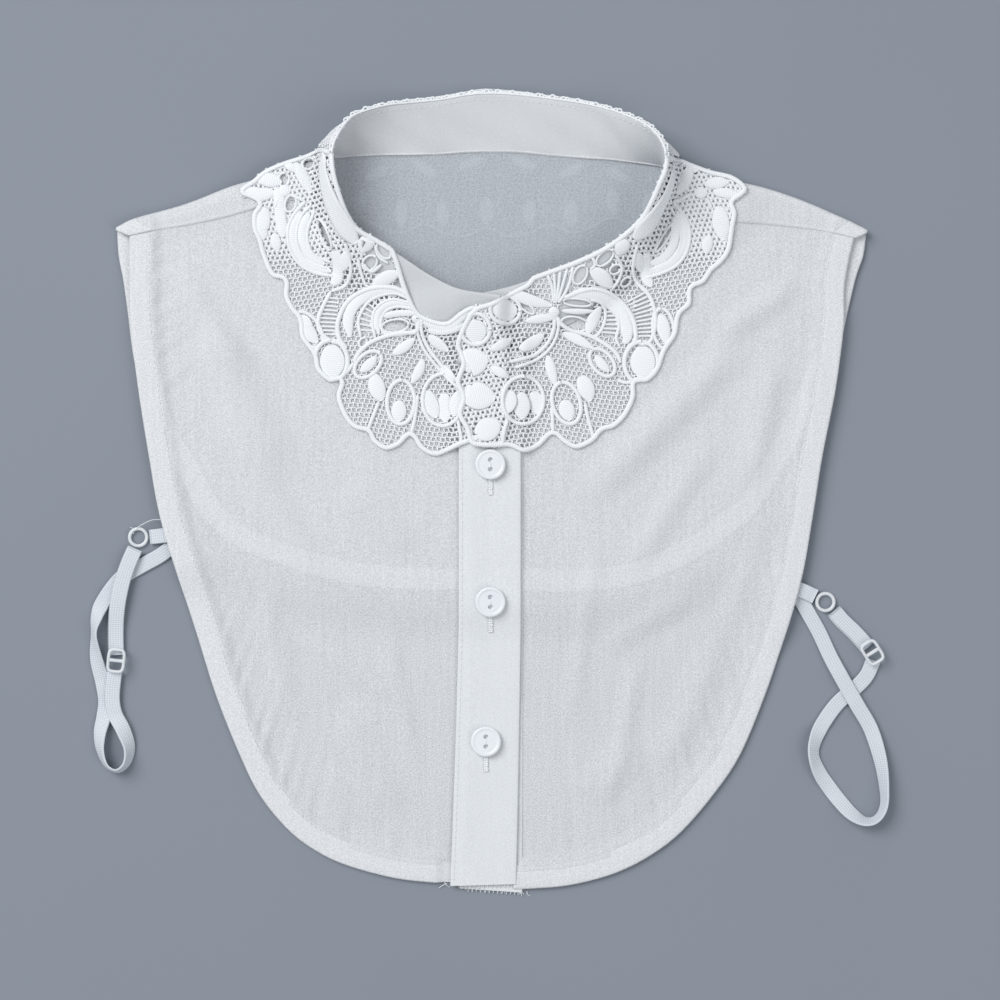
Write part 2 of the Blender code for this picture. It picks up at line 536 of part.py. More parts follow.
def strip_faces(rows, columns):
    """Quads of a grid whose points run along each row in turn."""
    here = np.arange(rows * columns).reshape(rows, columns)
    corners = np.stack([here[:-1, :-1], here[1:, :-1], here[1:, 1:], here[:-1, 1:]], axis=2)
    return corners.reshape(-1, 4)


# ---------------------------------------------------------------- neck seam
def band_rails():
    """Seam and top edge of the stand collar as smooth lines of matching points, in space."""
    matched = along(spline(BAND_STATIONS, TRACE_STEP), BAND_COUNT)
    return matched[:, 0:2], matched[:, 2:5]


SEAM_LINE, EDGE_LINE = band_rails()
LEFT_NECK_POINT = int(np.argmin(np.linalg.norm(SEAM_LINE - np.array(LEFT_FOLD[-1]), axis=1)))
RIGHT_NECK_POINT = int(np.argmin(np.linalg.norm(SEAM_LINE - np.array(RIGHT_FOLD[-1]), axis=1)))


def seam_heights():
    """Heights of the neck seam: low round the back, up over the shoulder folds, high at the front."""
    low = back_bed(SEAM_LINE) + CLOTH / 2
    high = front_bed(SEAM_LINE) + CLOTH / 2
    index = np.arange(len(SEAM_LINE))
    past_fold = np.where(index < len(index) / 2, LEFT_NECK_POINT - index, index - RIGHT_NECK_POINT)
    front = smooth(past_fold / SEAM_CLIMB + 0.5)
    heights = low + (high - low) * front
    end_run = np.linalg.norm(SEAM_LINE - SEAM_LINE[0], axis=1)
    lap = smooth(1 - (end_run - BAND_LAP_LENGTH) / BAND_LAP_RAMP)
    return heights + BAND_LAP * np.where(index < len(index) / 3, lap, 0)


SEAM_HEIGHT = seam_heights()
SEAM_RAIL = np.column_stack([SEAM_LINE, SEAM_HEIGHT])


def front_neck(side):
    """A front's neck edge, from the placket to the shoulder seam."""
    outward = side_step(SEAM_LINE, SEAM)
    if side == "left":
        line = outward[:LEFT_NECK_POINT]
        return line[(line[:, 0] < FRONT_LEFT_EDGE - 2) & (line[:, 1] < LEFT_SHOULDER_SEAM[-1][1] - 2)]
    line = outward[RIGHT_NECK_POINT + 1:][::-1]
    return line[(line[:, 0] > FRONT_RIGHT_EDGE + 2) & (line[:, 1] < RIGHT_SHOULDER_SEAM[-1][1] - 2)]


# ---------------------------------------------------------------- panels
SHOULDER_COUNT = 14                # points along a shoulder
ROLL_ANGLES = (-54, -18, 18, 54)   # where the rows lie round a shoulder's fold
SEAM_ROWS = 4                      # rows from the fold to the shoulder seam
PLACKET_ROWS = 24
FRONT_EDGE_COUNT = 21              # points along a front's edge beside the placket


def inner_edge_start(x, neck):
    """Where a front's placket edge meets the neck: the neck edge carried on to the given x."""
    slope = (neck[1, 1] - neck[0, 1]) / (neck[1, 0] - neck[0, 0])
    return np.array([x, neck[0, 1] + slope * (x - neck[0, 0])])


def build_front(name, side, edge, edge_x, seam, material):
    """A front: from the neck and shoulder seam down to the hem, beside the placket."""
    neck = front_neck(side)
    top = inner_edge_start(edge_x, neck)
    seam_line = spline(seam, EDGE_STEP)[::-1]
    inner = along(np.array([edge[-1], top]), FRONT_EDGE_COUNT)
    ring = np.vstack([top[None], neck, seam_line, edge[1:], inner[1:-1]])
    turn = 1 if side == "left" else -1
    hem_lines = [side_step(edge, turn * (HEM_WIDTH + GAP))[1:],
                 side_step(edge, turn * (HEM_WIDTH + GAP + HEM_RAMP))[2:]]
    points, triangles, _ = fill(ring, lines=hem_lines, ramp=(BACK_BED_RING, BED_RAMP))
    middle = np.column_stack([points, front_middle(points, edge)])
    return add_wall(name, middle, triangles, CLOTH, material)


def build_facing(name, edge, turn, bed, material):
    """Strip inside a hem, from the cut edge to its stitched inner edge."""
    inner = side_step(edge, turn * HEM_WIDTH)
    centre = side_step(edge, turn * HEM_WIDTH / 2)
    rows = [edge, centre, inner] if turn > 0 else [inner, centre, edge]
    plan = np.stack(rows, axis=1).reshape(-1, 2)
    middle = np.column_stack([plan, bed(plan) + CLOTH / 2])
    return add_wall(name, middle, strip_faces(len(edge), 3), CLOTH, material)


def shoulder_roll(fold_points, seam_points, turn, edge):
    """The line where a shoulder starts to roll, and the rows round the fold to the shoulder seam."""
    fold = along(spline(fold_points, TRACE_STEP), SHOULDER_COUNT)
    seam = along(spline(seam_points, TRACE_STEP), SHOULDER_COUNT)
    axis = side_step(fold, turn * LIFT)
    low = back_bed(axis) + CLOTH / 2
    high = front_middle(axis, edge)
    radius = (high - low) / 2
    rows = []
    for angle in np.radians(ROLL_ANGLES):
        plan = axis + (fold - axis) * math.cos(angle)
        rows.append(np.column_stack([plan, (high + low) / 2 + radius * math.sin(angle)]))
    end = side_step(seam, -turn * GAP)
    for share in np.linspace(0, 1, SEAM_ROWS):
        plan = axis + (end - axis) * share
        rows.append(np.column_stack([plan, front_middle(plan, edge)]))
    return axis, rows


def build_back(material):
    """The back: flat behind, rolled over both shoulders as far as the shoulder seams."""
    count = SHOULDER_COUNT
    left_axis, left_rows = shoulder_roll(LEFT_FOLD, LEFT_SHOULDER_SEAM, -1, LEFT_EDGE_LINE)
    right_axis, right_rows = shoulder_roll(RIGHT_FOLD, RIGHT_SHOULDER_SEAM, 1, RIGHT_EDGE_LINE)
    neck = side_step(SEAM_LINE, -SEAM)[LEFT_NECK_POINT + 1:RIGHT_NECK_POINT]
    outer = spline(BACK_EDGE, EDGE_STEP)[1:-1][::-1]
    ring = np.vstack([left_axis, neck, right_axis[::-1], outer])
    points, triangles, places = fill(ring, ramp=(LACE_BED_RING, LACE_RAMP))
    middle = [np.column_stack([points, back_bed(points) + CLOTH / 2])]
    faces = [tuple(triangle) for triangle in triangles]
    total = len(points)
    right_first = count + len(neck)
    rims = [[places[i] for i in range(count)],
            [places[right_first + count - 1 - i] for i in range(count)]]
    for rim, rows, flip in ((rims[0], left_rows, False), (rims[1], right_rows, True)):
        previous = rim
        for row in rows:
            current = list(range(total, total + count))
            for a, b, c, d in zip(previous, previous[1:], current[1:], current):
                faces.append((d, c, b, a) if flip else (a, b, c, d))
            middle.append(row)
            previous = current
            total += count
    return add_wall("back", np.vstack(middle), faces, CLOTH, material)


def build_placket(name, left, right, bottom_left, bottom_right, layer, material):
    """Straight band down the centre; `layer` counts the layers of cloth it lies on."""
    left_side = along(np.array([(left, PLACKET_TOP_Y), (left, bottom_left)]), PLACKET_ROWS)
    right_side = along(np.array([(right, PLACKET_TOP_Y), (right, bottom_right)]), PLACKET_ROWS)
    plan = np.stack([left_side, (left_side + right_side) / 2, right_side], axis=1).reshape(-1, 2)
    middle = np.column_stack([plan, front_bed(plan) + layer * LIFT + CLOTH / 2])
    return add_wall(name, middle, strip_faces(PLACKET_ROWS, 3), CLOTH, material)


def build_band(material):
    """Stand collar: a ruled wall between the neck seam and its own top edge."""
    shares = np.linspace(0, 1, 3)
    middle = (SEAM_RAIL[:, None] + (EDGE_LINE - SEAM_RAIL)[:, None] * shares[None, :, None]).reshape(-1, 3)
    return add_wall("neck_band", middle, strip_faces(len(SEAM_RAIL), 3), BAND, material)


# ---------------------------------------------------------------- lace
def ellipse(x, y, length, width, turn, count, scale=1.0):
    """Outline of an oval; `turn` is the angle of its long side from the x axis, in degrees."""
    angle = np.linspace(0, 2 * math.pi, count, endpoint=False)
    along_x, along_y = scale * length / 2 * np.cos(angle), scale * width / 2 * np.sin(angle)
    cosine, sine = math.cos(math.radians(turn)), math.sin(math.radians(turn))
    return np.column_stack([x + along_x * cosine - along_y * sine, y + along_x * sine + along_y * cosine])


def petals_of(side):
    """Rows of padded petals on one side; the right side mirrors the left."""
    if side == "left":
        return LACE_PETALS
    return [(2 * LACE_AXIS_X - x, y, length, width, 180 - turn) for x, y, length, width, turn in LACE_PETALS]


def petal_relief(points, petals):
    """Height of the padded petals above the lace ground."""
    relief = np.zeros(len(points))
    for x, y, length, width, turn in petals:
        cosine, sine = math.cos(math.radians(turn)), math.sin(math.radians(turn))
        offset = points - np.array([x, y])
        u = (offset[:, 0] * cosine + offset[:, 1] * sine) / (length / 2)
        v = (-offset[:, 0] * sine + offset[:, 1] * cosine) / (width / 2)
        relief = np.maximum(relief, PETAL_RISE * (np.hypot(u, v) < PETAL_SHARE + 0.05))
    return relief


class Drape:
    """Heights of what the front lace hangs over, kept on a square grid in plan.

    They are the middles of walls as thick as the band: the fronts and the placket, the surface past
    the shoulder folds, and the band itself, carried on a little past its top edge.
    """
    LOW = np.array([-125.0, -5.0])
    HIGH = np.array([125.0, 185.0])
    CELL = 1.0
    PLACKET_RAMP = 4.0     # width of the step down beside the placket
    FOLD_START = 1.0       # the lace starts down this far past a shoulder fold
    FOLD_FALL = 3.0        # and is down after this much more
    WALL_REACH = 1.35      # the band's wall is carried on to this share of its height
    BLUR = 1.3             # the lace spans steps narrower than this
    BLUR_REACH = 4

    def __init__(self):
        x = np.arange(self.LOW[0], self.HIGH[0] + self.CELL / 2, self.CELL)
        y = np.arange(self.LOW[1], self.HIGH[1], self.CELL)
        grid_x, grid_y = np.meshgrid(x, y)
        points = np.column_stack([grid_x.ravel(), grid_y.ravel()])
        height = np.where(points[:, 0] < 0, front_middle(points, LEFT_EDGE_LINE),
                          front_middle(points, RIGHT_EDGE_LINE)) + (CLOTH - BAND) / 2
        top_y, bottom_y = PLACKET_TOP_Y + 11, 2 * self.LOW[1]
        placket = np.array([(PLACKET_LEFT, top_y), (PLACKET_RIGHT, top_y),
                            (PLACKET_RIGHT, bottom_y), (PLACKET_LEFT, bottom_y)])
        height = height + LIFT * rise(points, placket, self.PLACKET_RAMP)
        folds = np.vstack([spline(LEFT_FOLD, 3.0), spline(RIGHT_FOLD, 3.0)[::-1]])
        corners = np.array([(-170.0, 250.0), (170.0, 250.0)])
        behind = np.vstack([corners[:1], folds, corners[1:]])
        beyond = np.where(is_inside(points, behind), distance_to(points, folds, False), 0.0)
        height = height + (FOLD_FOOT - height) * smooth((beyond - self.FOLD_START) / self.FOLD_FALL)
        height = height.reshape(grid_x.shape)
        rails = along(np.column_stack([SEAM_RAIL, EDGE_LINE]), 900)
        shares = np.linspace(0, self.WALL_REACH, 60)[:, None, None]
        wall = (rails[None, :, :3] + (rails[None, :, 3:] - rails[None, :, :3]) * shares).reshape(-1, 3)
        column, row = np.round((wall[:, :2] - self.LOW) / self.CELL).astype(int).T
        np.maximum.at(height, (row, column), wall[:, 2])
        wide = np.pad(height, 1, mode="edge")
        rows, columns = height.shape
        height = np.max([wide[i:i + rows, j:j + columns] for i in range(3) for j in range(3)], axis=0)
        self.height = self.blur(height)

    def blur(self, height):
        """Gaussian smoothing, so that the lace spans small steps."""
        reach = np.arange(-self.BLUR_REACH, self.BLUR_REACH + 1)
        kernel = np.exp(-reach ** 2 / (2 * self.BLUR ** 2))
        kernel /= kernel.sum()
        padded = np.pad(height, self.BLUR_REACH, mode="edge")
        padded = np.apply_along_axis(lambda line: np.convolve(line, kernel, "valid"), 0, padded)
        return np.apply_along_axis(lambda line: np.convolve(line, kernel, "valid"), 1, padded)

    def at(self, points):
        """Height under each point, read between the grid's values."""
        place = (points - self.LOW) / self.CELL
        column = np.clip(np.floor(place[:, 0]).astype(int), 0, self.height.shape[1] - 2)
        row = np.clip(np.floor(place[:, 1]).astype(int), 0, self.height.shape[0] - 2)
        u, v = place[:, 0] - column, place[:, 1] - row
        h = self.height
        return ((1 - u) * (1 - v) * h[row, column] + u * (1 - v) * h[row, column + 1]
                + (1 - u) * v * h[row + 1, column] + u * v * h[row + 1, column + 1])


def lace_ring(outer, inner, side):
    """Outline of a front lace: scallops, the end at the placket, then the band's top edge."""
    outer_line = spline(outer, SCALLOP_STEP)
    inner_line = spline(inner, FOLD_STEP)
    half = len(EDGE_LINE) // 2
    plan = EDGE_LINE[:half, :2] if side == "left" else EDGE_LINE[half:, :2][::-1]
    past_inner = plan[:, 0] * np.sign(outer[0][0]) > abs(inner[-1][0]) + 2
    chosen = past_inner & (plan[:, 1] > inner[-1][1]) & (plan[:, 1] < outer[0][1] - 2)
    return np.vstack([outer_line, inner_line, plan[chosen]])


def build_front_lace(name, ring, petals, fold, drape, under, material):
    """Lace over a front: it follows what it hangs over, and its petals stand up from it."""
    openings = [ellipse(*row, 8) for row in LACE_OPENINGS]
    openings = [hole for hole in openings
                if is_inside(hole, ring).all() and distance_to(hole, ring, True).min() > OPENING_MARGIN]
    if under is not None:
        openings = [hole for hole in openings if distance_to(hole, under, True).min() > OPENING_MARGIN
                    and not is_inside(hole, under).any()]
    loops = []
    for petal in petals:
        loop = ellipse(*petal, 8, PETAL_SHARE)
        clear = all(distance_to(loop, hole, True).min() > PETAL_MARGIN for hole in openings)
        clear = clear and distance_to(loop, ring, True).min() > PETAL_MARGIN
        if clear and is_inside(loop, ring).all():
            loops.append(np.vstack([loop, loop[:1]]))
    crest = spline(fold, FOLD_STEP)
    crest = crest[is_inside(crest, ring) & (distance_to(crest, ring, True) > PETAL_MARGIN)]
    points, triangles, _ = fill(ring, openings, loops + [crest], LACE_STEP)
    height = drape.at(points)
    tilt = 0.5
    slope_x = (drape.at(points + [tilt, 0]) - drape.at(points - [tilt, 0])) / (2 * tilt)
    slope_y = (drape.at(points + [0, tilt]) - drape.at(points - [0, tilt])) / (2 * tilt)
    normal = np.column_stack([-slope_x, -slope_y, np.ones(len(points))])
    normal /= np.linalg.norm(normal, axis=1)[:, None]
    middle = np.column_stack([points, height]) + (BAND / 2 + LACE_AIR + LACE / 2) * normal
    if under is not None:
        outside = np.where(is_inside(points, under), 0.0, distance_to(points, under, True))
        middle[:, 2] += LACE_LAP * smooth(1 - (outside - LACE_LAP_LEVEL) / LACE_LAP_RAMP)
    return add_wall(name, middle, triangles, LACE, material, petal_relief(points, petals))


def build_back_lace(material):
    """Lace behind the neck: up the outside of the band, and flat under the back."""
    fold = spline(LACE_BACK_FOLD, FOLD_STEP)
    count = len(fold)
    scallops = spline(LACE_BACK_SCALLOPS, FOLD_STEP)
    ring = np.vstack([fold, scallops[1:-1]])
    points, triangles, places = fill(ring)
    middle = [np.column_stack([points, np.full(len(points), CLOTH / 2)])]
    faces = [tuple(triangle) for triangle in triangles]
    outside = side_step(EDGE_LINE, BAND / 2 + BACK_LACE_AIR + CLOTH / 2)
    top = along(outside[outside[:, 1] > BACK_LACE_END_Y], count)
    previous = [places[i] for i in range(count)]
    total = len(points)
    for share, lean in BACK_LACE_ROWS:
        flat = fold + (top[:, :2] - fold) * lean
        row = np.column_stack([flat, CLOTH / 2 + (top[:, 2] - CLOTH / 2) * share])
        current = list(range(total, total + count))
        for a, b, c, d in zip(previous, previous[1:], current[1:], current):
            faces.append((a, b, c, d))
        middle.append(row)
        previous = current
        total += count
    return add_wall("lace_back", np.vstack(middle), faces, CLOTH, material)


# ---------------------------------------------------------------- buttons
def build_button(name, x, y, material):
    """Two-hole button: a disc with a raised rim, cut through twice."""
    radius = BUTTON_DIAMETER / 2
    ends = front_bed(np.array([(x, y - radius), (x, y + radius)])) + 2 * LIFT
    slope = (ends[1] - ends[0]) / BUTTON_DIAMETER
    inner = radius - BUTTON_RIM
    profile = [
        (0.0, BUTTON_FLOOR), (inner - BUTTON_ROUND, BUTTON_FLOOR), (inner, BUTTON_THICKNESS),
        (radius - BUTTON_ROUND, BUTTON_THICKNESS), (radius, BUTTON_THICKNESS - BUTTON_ROUND),
        (radius, BUTTON_ROUND), (radius - BUTTON_ROUND, 0.0), (0.0, 0.0)]
    mesh = bpy.data.meshes.new(name)
    work = bmesh.new()
    points = [work.verts.new(Vector((r, 0.0, z)) * MM) for r, z in profile]
    edges = [work.edges.new(pair) for pair in zip(points, points[1:])]
    bmesh.ops.spin(work, geom=points + edges, cent=(0, 0, 0), axis=(0, 0, 1), angle=2 * math.pi,
                   steps=BUTTON_STEPS, use_merge=True)
    bmesh.ops.remove_doubles(work, verts=work.verts, dist=0.02 * MM)
    bmesh.ops.recalc_face_normals(work, faces=work.faces)
    work.to_mesh(mesh)
    work.free()
    mesh.materials.append(material)
    body = bpy.data.objects.new(name, mesh)
    bpy.context.scene.collection.objects.link(body)
    body.location = Vector((x, y, ends.mean() + BUTTON_AIR)) * MM
    body.rotation_euler = (math.atan(slope), 0.0, 0.0)
    for place, side in (("upper", 1), ("lower", -1)):
        cutter_mesh = bpy.data.meshes.new(name + "_" + place)
        work = bmesh.new()
        bmesh.ops.create_cone(work, cap_ends=True, segments=10, radius1=BUTTON_HOLE / 2 * MM,
                              radius2=BUTTON_HOLE / 2 * MM, depth=4 * BUTTON_THICKNESS * MM)
        work.to_mesh(cutter_mesh)
        work.free()
        cutter = bpy.data.objects.new(name + "_" + place, cutter_mesh)
        bpy.context.scene.collection.objects.link(cutter)
        cutter.parent = body
        cutter.location = (0.0, side * BUTTON_HOLE_PITCH / 2 * MM, 0.0)
        cutter.hide_render = True
        cutter.display_type = "WIRE"
        cut = body.modifiers.new("hole_" + place, "BOOLEAN")
        cut.operation = "DIFFERENCE"
        cut.object = cutter
    mesh.shade_smooth()
    mesh.set_sharp_from_angle(angle=math.radians(35))
    return body


# ---------------------------------------------------------------- straps
def build_ribbon(name, route, thickness, material):
    """Elastic along a route of x, y, layers below and lean, with the ribbon's width across it."""
    line = spline(route, RIBBON_STEP)
    tangent = np.gradient(line[:, :2], axis=0)
    tangent /= np.linalg.norm(tangent, axis=1)[:, None]
    lean = np.radians(line[:, 3])
    across = np.column_stack([-tangent[:, 1] * np.cos(lean), tangent[:, 0] * np.cos(lean), np.sin(lean)])
    layers = np.maximum(line[:, 2], 0)
    height = layers * (ELASTIC + GAP) + np.abs(np.sin(lean)) * ELASTIC_WIDTH / 2
    height = height + np.cos(lean) * thickness / 2 + RIBBON_AIR
    centre = np.column_stack([line[:, :2], height])
    half = across * ELASTIC_WIDTH / 2
    middle = np.stack([centre + half, centre - half], axis=1).reshape(-1, 3)
    return add_wall(name, middle, strip_faces(len(line), 2), thickness, material)


def build_ring(name, x, y, material):
    """Plastic ring lying flat between the tab and the doubled elastic."""
    turns = np.linspace(0, 2 * math.pi, RING_COUNT, endpoint=False)
    section = np.linspace(0, 2 * math.pi, WIRE_COUNT, endpoint=False)
    reach = RING_RADIUS + RING_WIRE * np.cos(section)
    vertices = np.array([(x + r * math.cos(t), y + r * math.sin(t), RING_WIRE * (1 + math.sin(q)))
                         for t in turns for r, q in zip(reach, section)])
    here = np.arange(RING_COUNT * WIRE_COUNT).reshape(RING_COUNT, WIRE_COUNT)
    onward, up = np.roll(here, -1, axis=0), np.roll(here, -1, axis=1)
    corners = np.stack([here, onward, np.roll(onward, -1, axis=1), up], axis=2)
    return add_body(name, vertices, corners.reshape(-1, 4), material)


def build_slider(name, x, y, underside, turn, material):
    """Figure-of-eight slider: a rounded frame with a bar across its middle."""
    half_length, half_width, corner = SLIDER_LENGTH / 2, SLIDER_WIDTH / 2, SLIDER_CORNER
    outline = []
    for sign_x, sign_y, first in ((1, 1, 0), (-1, 1, 90), (-1, -1, 180), (1, -1, 270)):
        for angle in np.radians(first + np.array([0.0, 30.0, 60.0, 90.0])):
            outline.append((sign_x * (half_length - corner) + corner * math.cos(angle),
                            sign_y * (half_width - corner) + corner * math.sin(angle)))
    slot_low, slot_high = SLIDER_FRAME / 2, half_length - SLIDER_FRAME
    slot_side = half_width - SLIDER_FRAME
    slots = [np.array([(sign * slot_low, -slot_side), (sign * slot_high, -slot_side * 0.8),
                       (sign * slot_high, slot_side * 0.8), (sign * slot_low, slot_side)])
             for sign in (1, -1)]
    points, triangles, _ = fill(np.array(outline), slots)
    cosine, sine = math.cos(math.radians(turn)), math.sin(math.radians(turn))
    plan = np.column_stack([x + points[:, 0] * cosine - points[:, 1] * sine,
                            y + points[:, 0] * sine + points[:, 1] * cosine])
    middle = np.column_stack([plan, np.full(len(plan), underside + SLIDER_THICKNESS / 2)])
    return add_wall(name, middle, triangles, SLIDER_THICKNESS, material)


# ---------------------------------------------------------------- assembly
def centre_on_origin():
    """Move everything so that the origin is under the middle of the collar's outline."""
    bpy.context.view_layer.update()
    pieces = [thing for thing in bpy.data.objects if thing.parent is None]
    corners = np.array([piece.matrix_world @ Vector(corner)
                        for piece in pieces for corner in piece.bound_box])
    middle = (corners.min(0) + corners.max(0)) / 2
    for piece in pieces:
        piece.location -= Vector((middle[0], middle[1], 0.0))


def build_all():
    for thing in list(bpy.data.objects):
        bpy.data.objects.remove(thing, do_unlink=True)
    chiffon = make_material("chiffon", "E6EAEE", 0.75, 0.8)
    facing = make_material("chiffon_facing", "F0F2F4", 0.75)
    doubled = make_material("chiffon_doubled", "EDEFF2", 0.75)
    guipure = make_material("guipure_lace", "F7F8F9", 0.7)
    elastic = make_material("elastic", "EFF1F3", 0.65)
    resin = make_material("button_resin", "F2F4F5", 0.3)
    clear = make_material("clear_nylon", "E8EBEE", 0.25)

    build_back(chiffon)
    build_front("front_left", "left", LEFT_EDGE_LINE, FRONT_LEFT_EDGE, LEFT_SHOULDER_SEAM, chiffon)
    build_front("front_right", "right", RIGHT_EDGE_LINE, FRONT_RIGHT_EDGE, RIGHT_SHOULDER_SEAM, chiffon)

    back_edge = spline(BACK_EDGE, EDGE_STEP)[1:-1]
    build_facing("facing_back", back_edge, 1, lambda plan: back_bed(plan) + LIFT, facing)
    left_hem = LEFT_EDGE_LINE[LEFT_EDGE_LINE[:, 0] < FACING_END - 5.0]
    build_facing("facing_left", left_hem, 1, front_bed, facing)
    build_facing("facing_right", RIGHT_EDGE_LINE, -1, front_bed, facing)

    build_placket("placket_under", STAND_LEFT, STAND_RIGHT, *STAND_BOTTOM_Y, 0, chiffon)
    build_placket("placket_top", PLACKET_LEFT, PLACKET_RIGHT, *PLACKET_BOTTOM_Y, 1, facing)
    build_band(doubled)

    drape = Drape()
    left_ring = lace_ring(LACE_LEFT_OUTER, LACE_LEFT_INNER, "left")
    right_ring = lace_ring(LACE_RIGHT_OUTER, LACE_RIGHT_INNER, "right")
    build_front_lace("lace_left", left_ring, petals_of("left"), LEFT_FOLD, drape, None, guipure)
    build_front_lace("lace_right", right_ring, petals_of("right"), RIGHT_FOLD, drape, left_ring,
                     guipure)
    build_back_lace(guipure)

    for number, (x, y) in enumerate(BUTTONS, start=1):
        build_button("button_%d" % number, x, y, resin)

    for side, parts in SIDES.items():
        build_ribbon("tab_" + side, parts["tab"], ELASTIC, elastic)
        build_ring("ring_" + side, *parts["ring"], clear)
        build_ribbon("strap_short_" + side, parts["short"], 2 * ELASTIC, elastic)
        build_slider("slider_" + side, *parts["slider"], clear)
        build_ribbon("strap_loop_" + side, parts["loop"], ELASTIC, elastic)
    centre_on_origin()


build_all()
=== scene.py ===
# %% [markdown]
# # A detachable lace collar, laid flat
#
# The collar is two sheer fronts with a button placket, a shorter back, a stand collar, three pieces
# of guipure lace and an elastic strap at each side. Its solids come packed, as a fixed frame. Every
# soft one is replaced here by thin cloth that follows the same lines, so that a change of a line
# moves the solid and the cloth together.
#
# Lines and places are written in millimetres, as they are measured on a table, and one function
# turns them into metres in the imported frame.

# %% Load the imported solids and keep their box
import math

import bpy
import numpy as np
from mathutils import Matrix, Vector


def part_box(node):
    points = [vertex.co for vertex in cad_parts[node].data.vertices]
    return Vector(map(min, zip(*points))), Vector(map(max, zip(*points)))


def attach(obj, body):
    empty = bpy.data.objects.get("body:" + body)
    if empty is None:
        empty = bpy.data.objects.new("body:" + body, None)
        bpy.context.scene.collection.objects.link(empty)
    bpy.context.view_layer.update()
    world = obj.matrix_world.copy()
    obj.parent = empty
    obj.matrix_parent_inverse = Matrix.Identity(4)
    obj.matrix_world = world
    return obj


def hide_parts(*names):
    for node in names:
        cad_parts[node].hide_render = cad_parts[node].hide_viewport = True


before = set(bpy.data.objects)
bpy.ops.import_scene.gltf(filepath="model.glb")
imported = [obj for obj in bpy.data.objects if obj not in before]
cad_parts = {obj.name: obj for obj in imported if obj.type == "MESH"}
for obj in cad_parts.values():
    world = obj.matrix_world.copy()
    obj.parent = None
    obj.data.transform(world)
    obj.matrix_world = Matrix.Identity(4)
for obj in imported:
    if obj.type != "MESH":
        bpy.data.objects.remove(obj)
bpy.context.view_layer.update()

# %% Sizes that every piece shares, in millimetres
MM = 0.001
LAYER = 1.35            # one layer of cloth and the air above it
HALF_WALL = 0.5         # from a layer's underside to its middle
CHIFFON = 0.3           # thickness of the sheer cloth
HEM = 9.0               # width of the turned hem
HEM_RAMP = 4.85         # past the hem the cloth comes down over this distance
PLACKET_LEFT, PLACKET_RIGHT, PLACKET_TOP = -13.5, 12.8, 59.2

low_corner, high_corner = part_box("placket_top")
SHIFT = np.array([low_corner[0] / MM - PLACKET_LEFT, high_corner[1] / MM - PLACKET_TOP, 0.0])
print("table to frame, mm:", SHIFT.round(3))

# %% [markdown]
# ## Lines
#
# A cut edge is a smooth curve through a few given points. A Bezier curve object could hold it,
# but a Catmull-Rom spline in numpy passes through every point and gives whole arrays, which the
# surfaces below are made from.

# %% Smooth lines through given points
def spline(points, step):
    """Catmull-Rom line: between knots b and c the cubic whose end slopes are (c-a)/2 and (d-b)/2."""
    knots = np.array(points, float)
    padded = np.vstack([2 * knots[0] - knots[1], knots, 2 * knots[-1] - knots[-2]])
    t = np.linspace(0, 1, 12, endpoint=False)[:, None]
    pieces = []
    for a, b, c, d in zip(padded, padded[1:], padded[2:], padded[3:]):
        pieces.append(b + 0.5 * t * (c - a) + t ** 2 * (a - 2.5 * b + 2 * c - 0.5 * d)
                      + t ** 3 * (1.5 * (b - c) + 0.5 * (d - a)))
    fine = np.vstack(pieces + [knots[-1:]])
    length = np.linalg.norm(np.diff(fine, axis=0), axis=1).sum()
    return along(fine, max(2, int(round(length / step)) + 1))


def run_of(line):
    """Length along a line up to each of its points: the running sum of the steps between them."""
    return np.concatenate([[0], np.cumsum(np.linalg.norm(np.diff(line, axis=0), axis=1))])


def along(line, count):
    """The same line with `count` evenly spaced points, read off at even lengths."""
    run = run_of(line)
    stations = np.linspace(0, run[-1], count)
    return np.column_stack([np.interp(stations, run, column) for column in line.T])


def unit(vectors):
    """Each vector divided by its own length."""
    return vectors / np.maximum(np.linalg.norm(vectors, axis=-1, keepdims=True), 1e-9)


def upward(*shape):
    """Normals that point straight up, in an array of the given shape."""
    return np.tile([0.0, 0.0, 1.0], shape + (1,))


def circle(count):
    """Even angles round a circle, without the last one that would meet the first."""
    return np.linspace(0, 2 * math.pi, count, endpoint=False)


def turned(x, y, u, v, turn):
    """Plan points u along and v across from x, y: (u cos - v sin, u sin + v cos) of a turn in degrees."""
    cosine, sine = math.cos(math.radians(turn)), math.sin(math.radians(turn))
    return np.column_stack([x + u * cosine - v * sine, y + u * sine + v * cosine])


def side_step(line, distance):
    """The line moved to its left: each point plus `distance` times the tangent turned a quarter."""
    tangent = unit(np.gradient(line[:, :2], axis=0))
    moved = line.copy()
    moved[:, 0] -= distance * tangent[:, 1]
    moved[:, 1] += distance * tangent[:, 0]
    return moved


# %% Distances and soft steps
def distance_to(points, line, closed=False):
    """Plan distance to the nearest segment: each point is dropped on every segment, ends included."""
    start = line if closed else line[:-1]
    span = (np.roll(line, -1, axis=0) if closed else line[1:]) - start
    nearest = []
    for block in np.array_split(points, 1 + len(points) // 12000):
        offset = block[:, None, :] - start[None]
        share = np.clip((offset * span).sum(2) / np.maximum((span ** 2).sum(1), 1e-9), 0, 1)
        nearest.append(np.linalg.norm(offset - share[..., None] * span, axis=2).min(1))
    return np.concatenate(nearest)


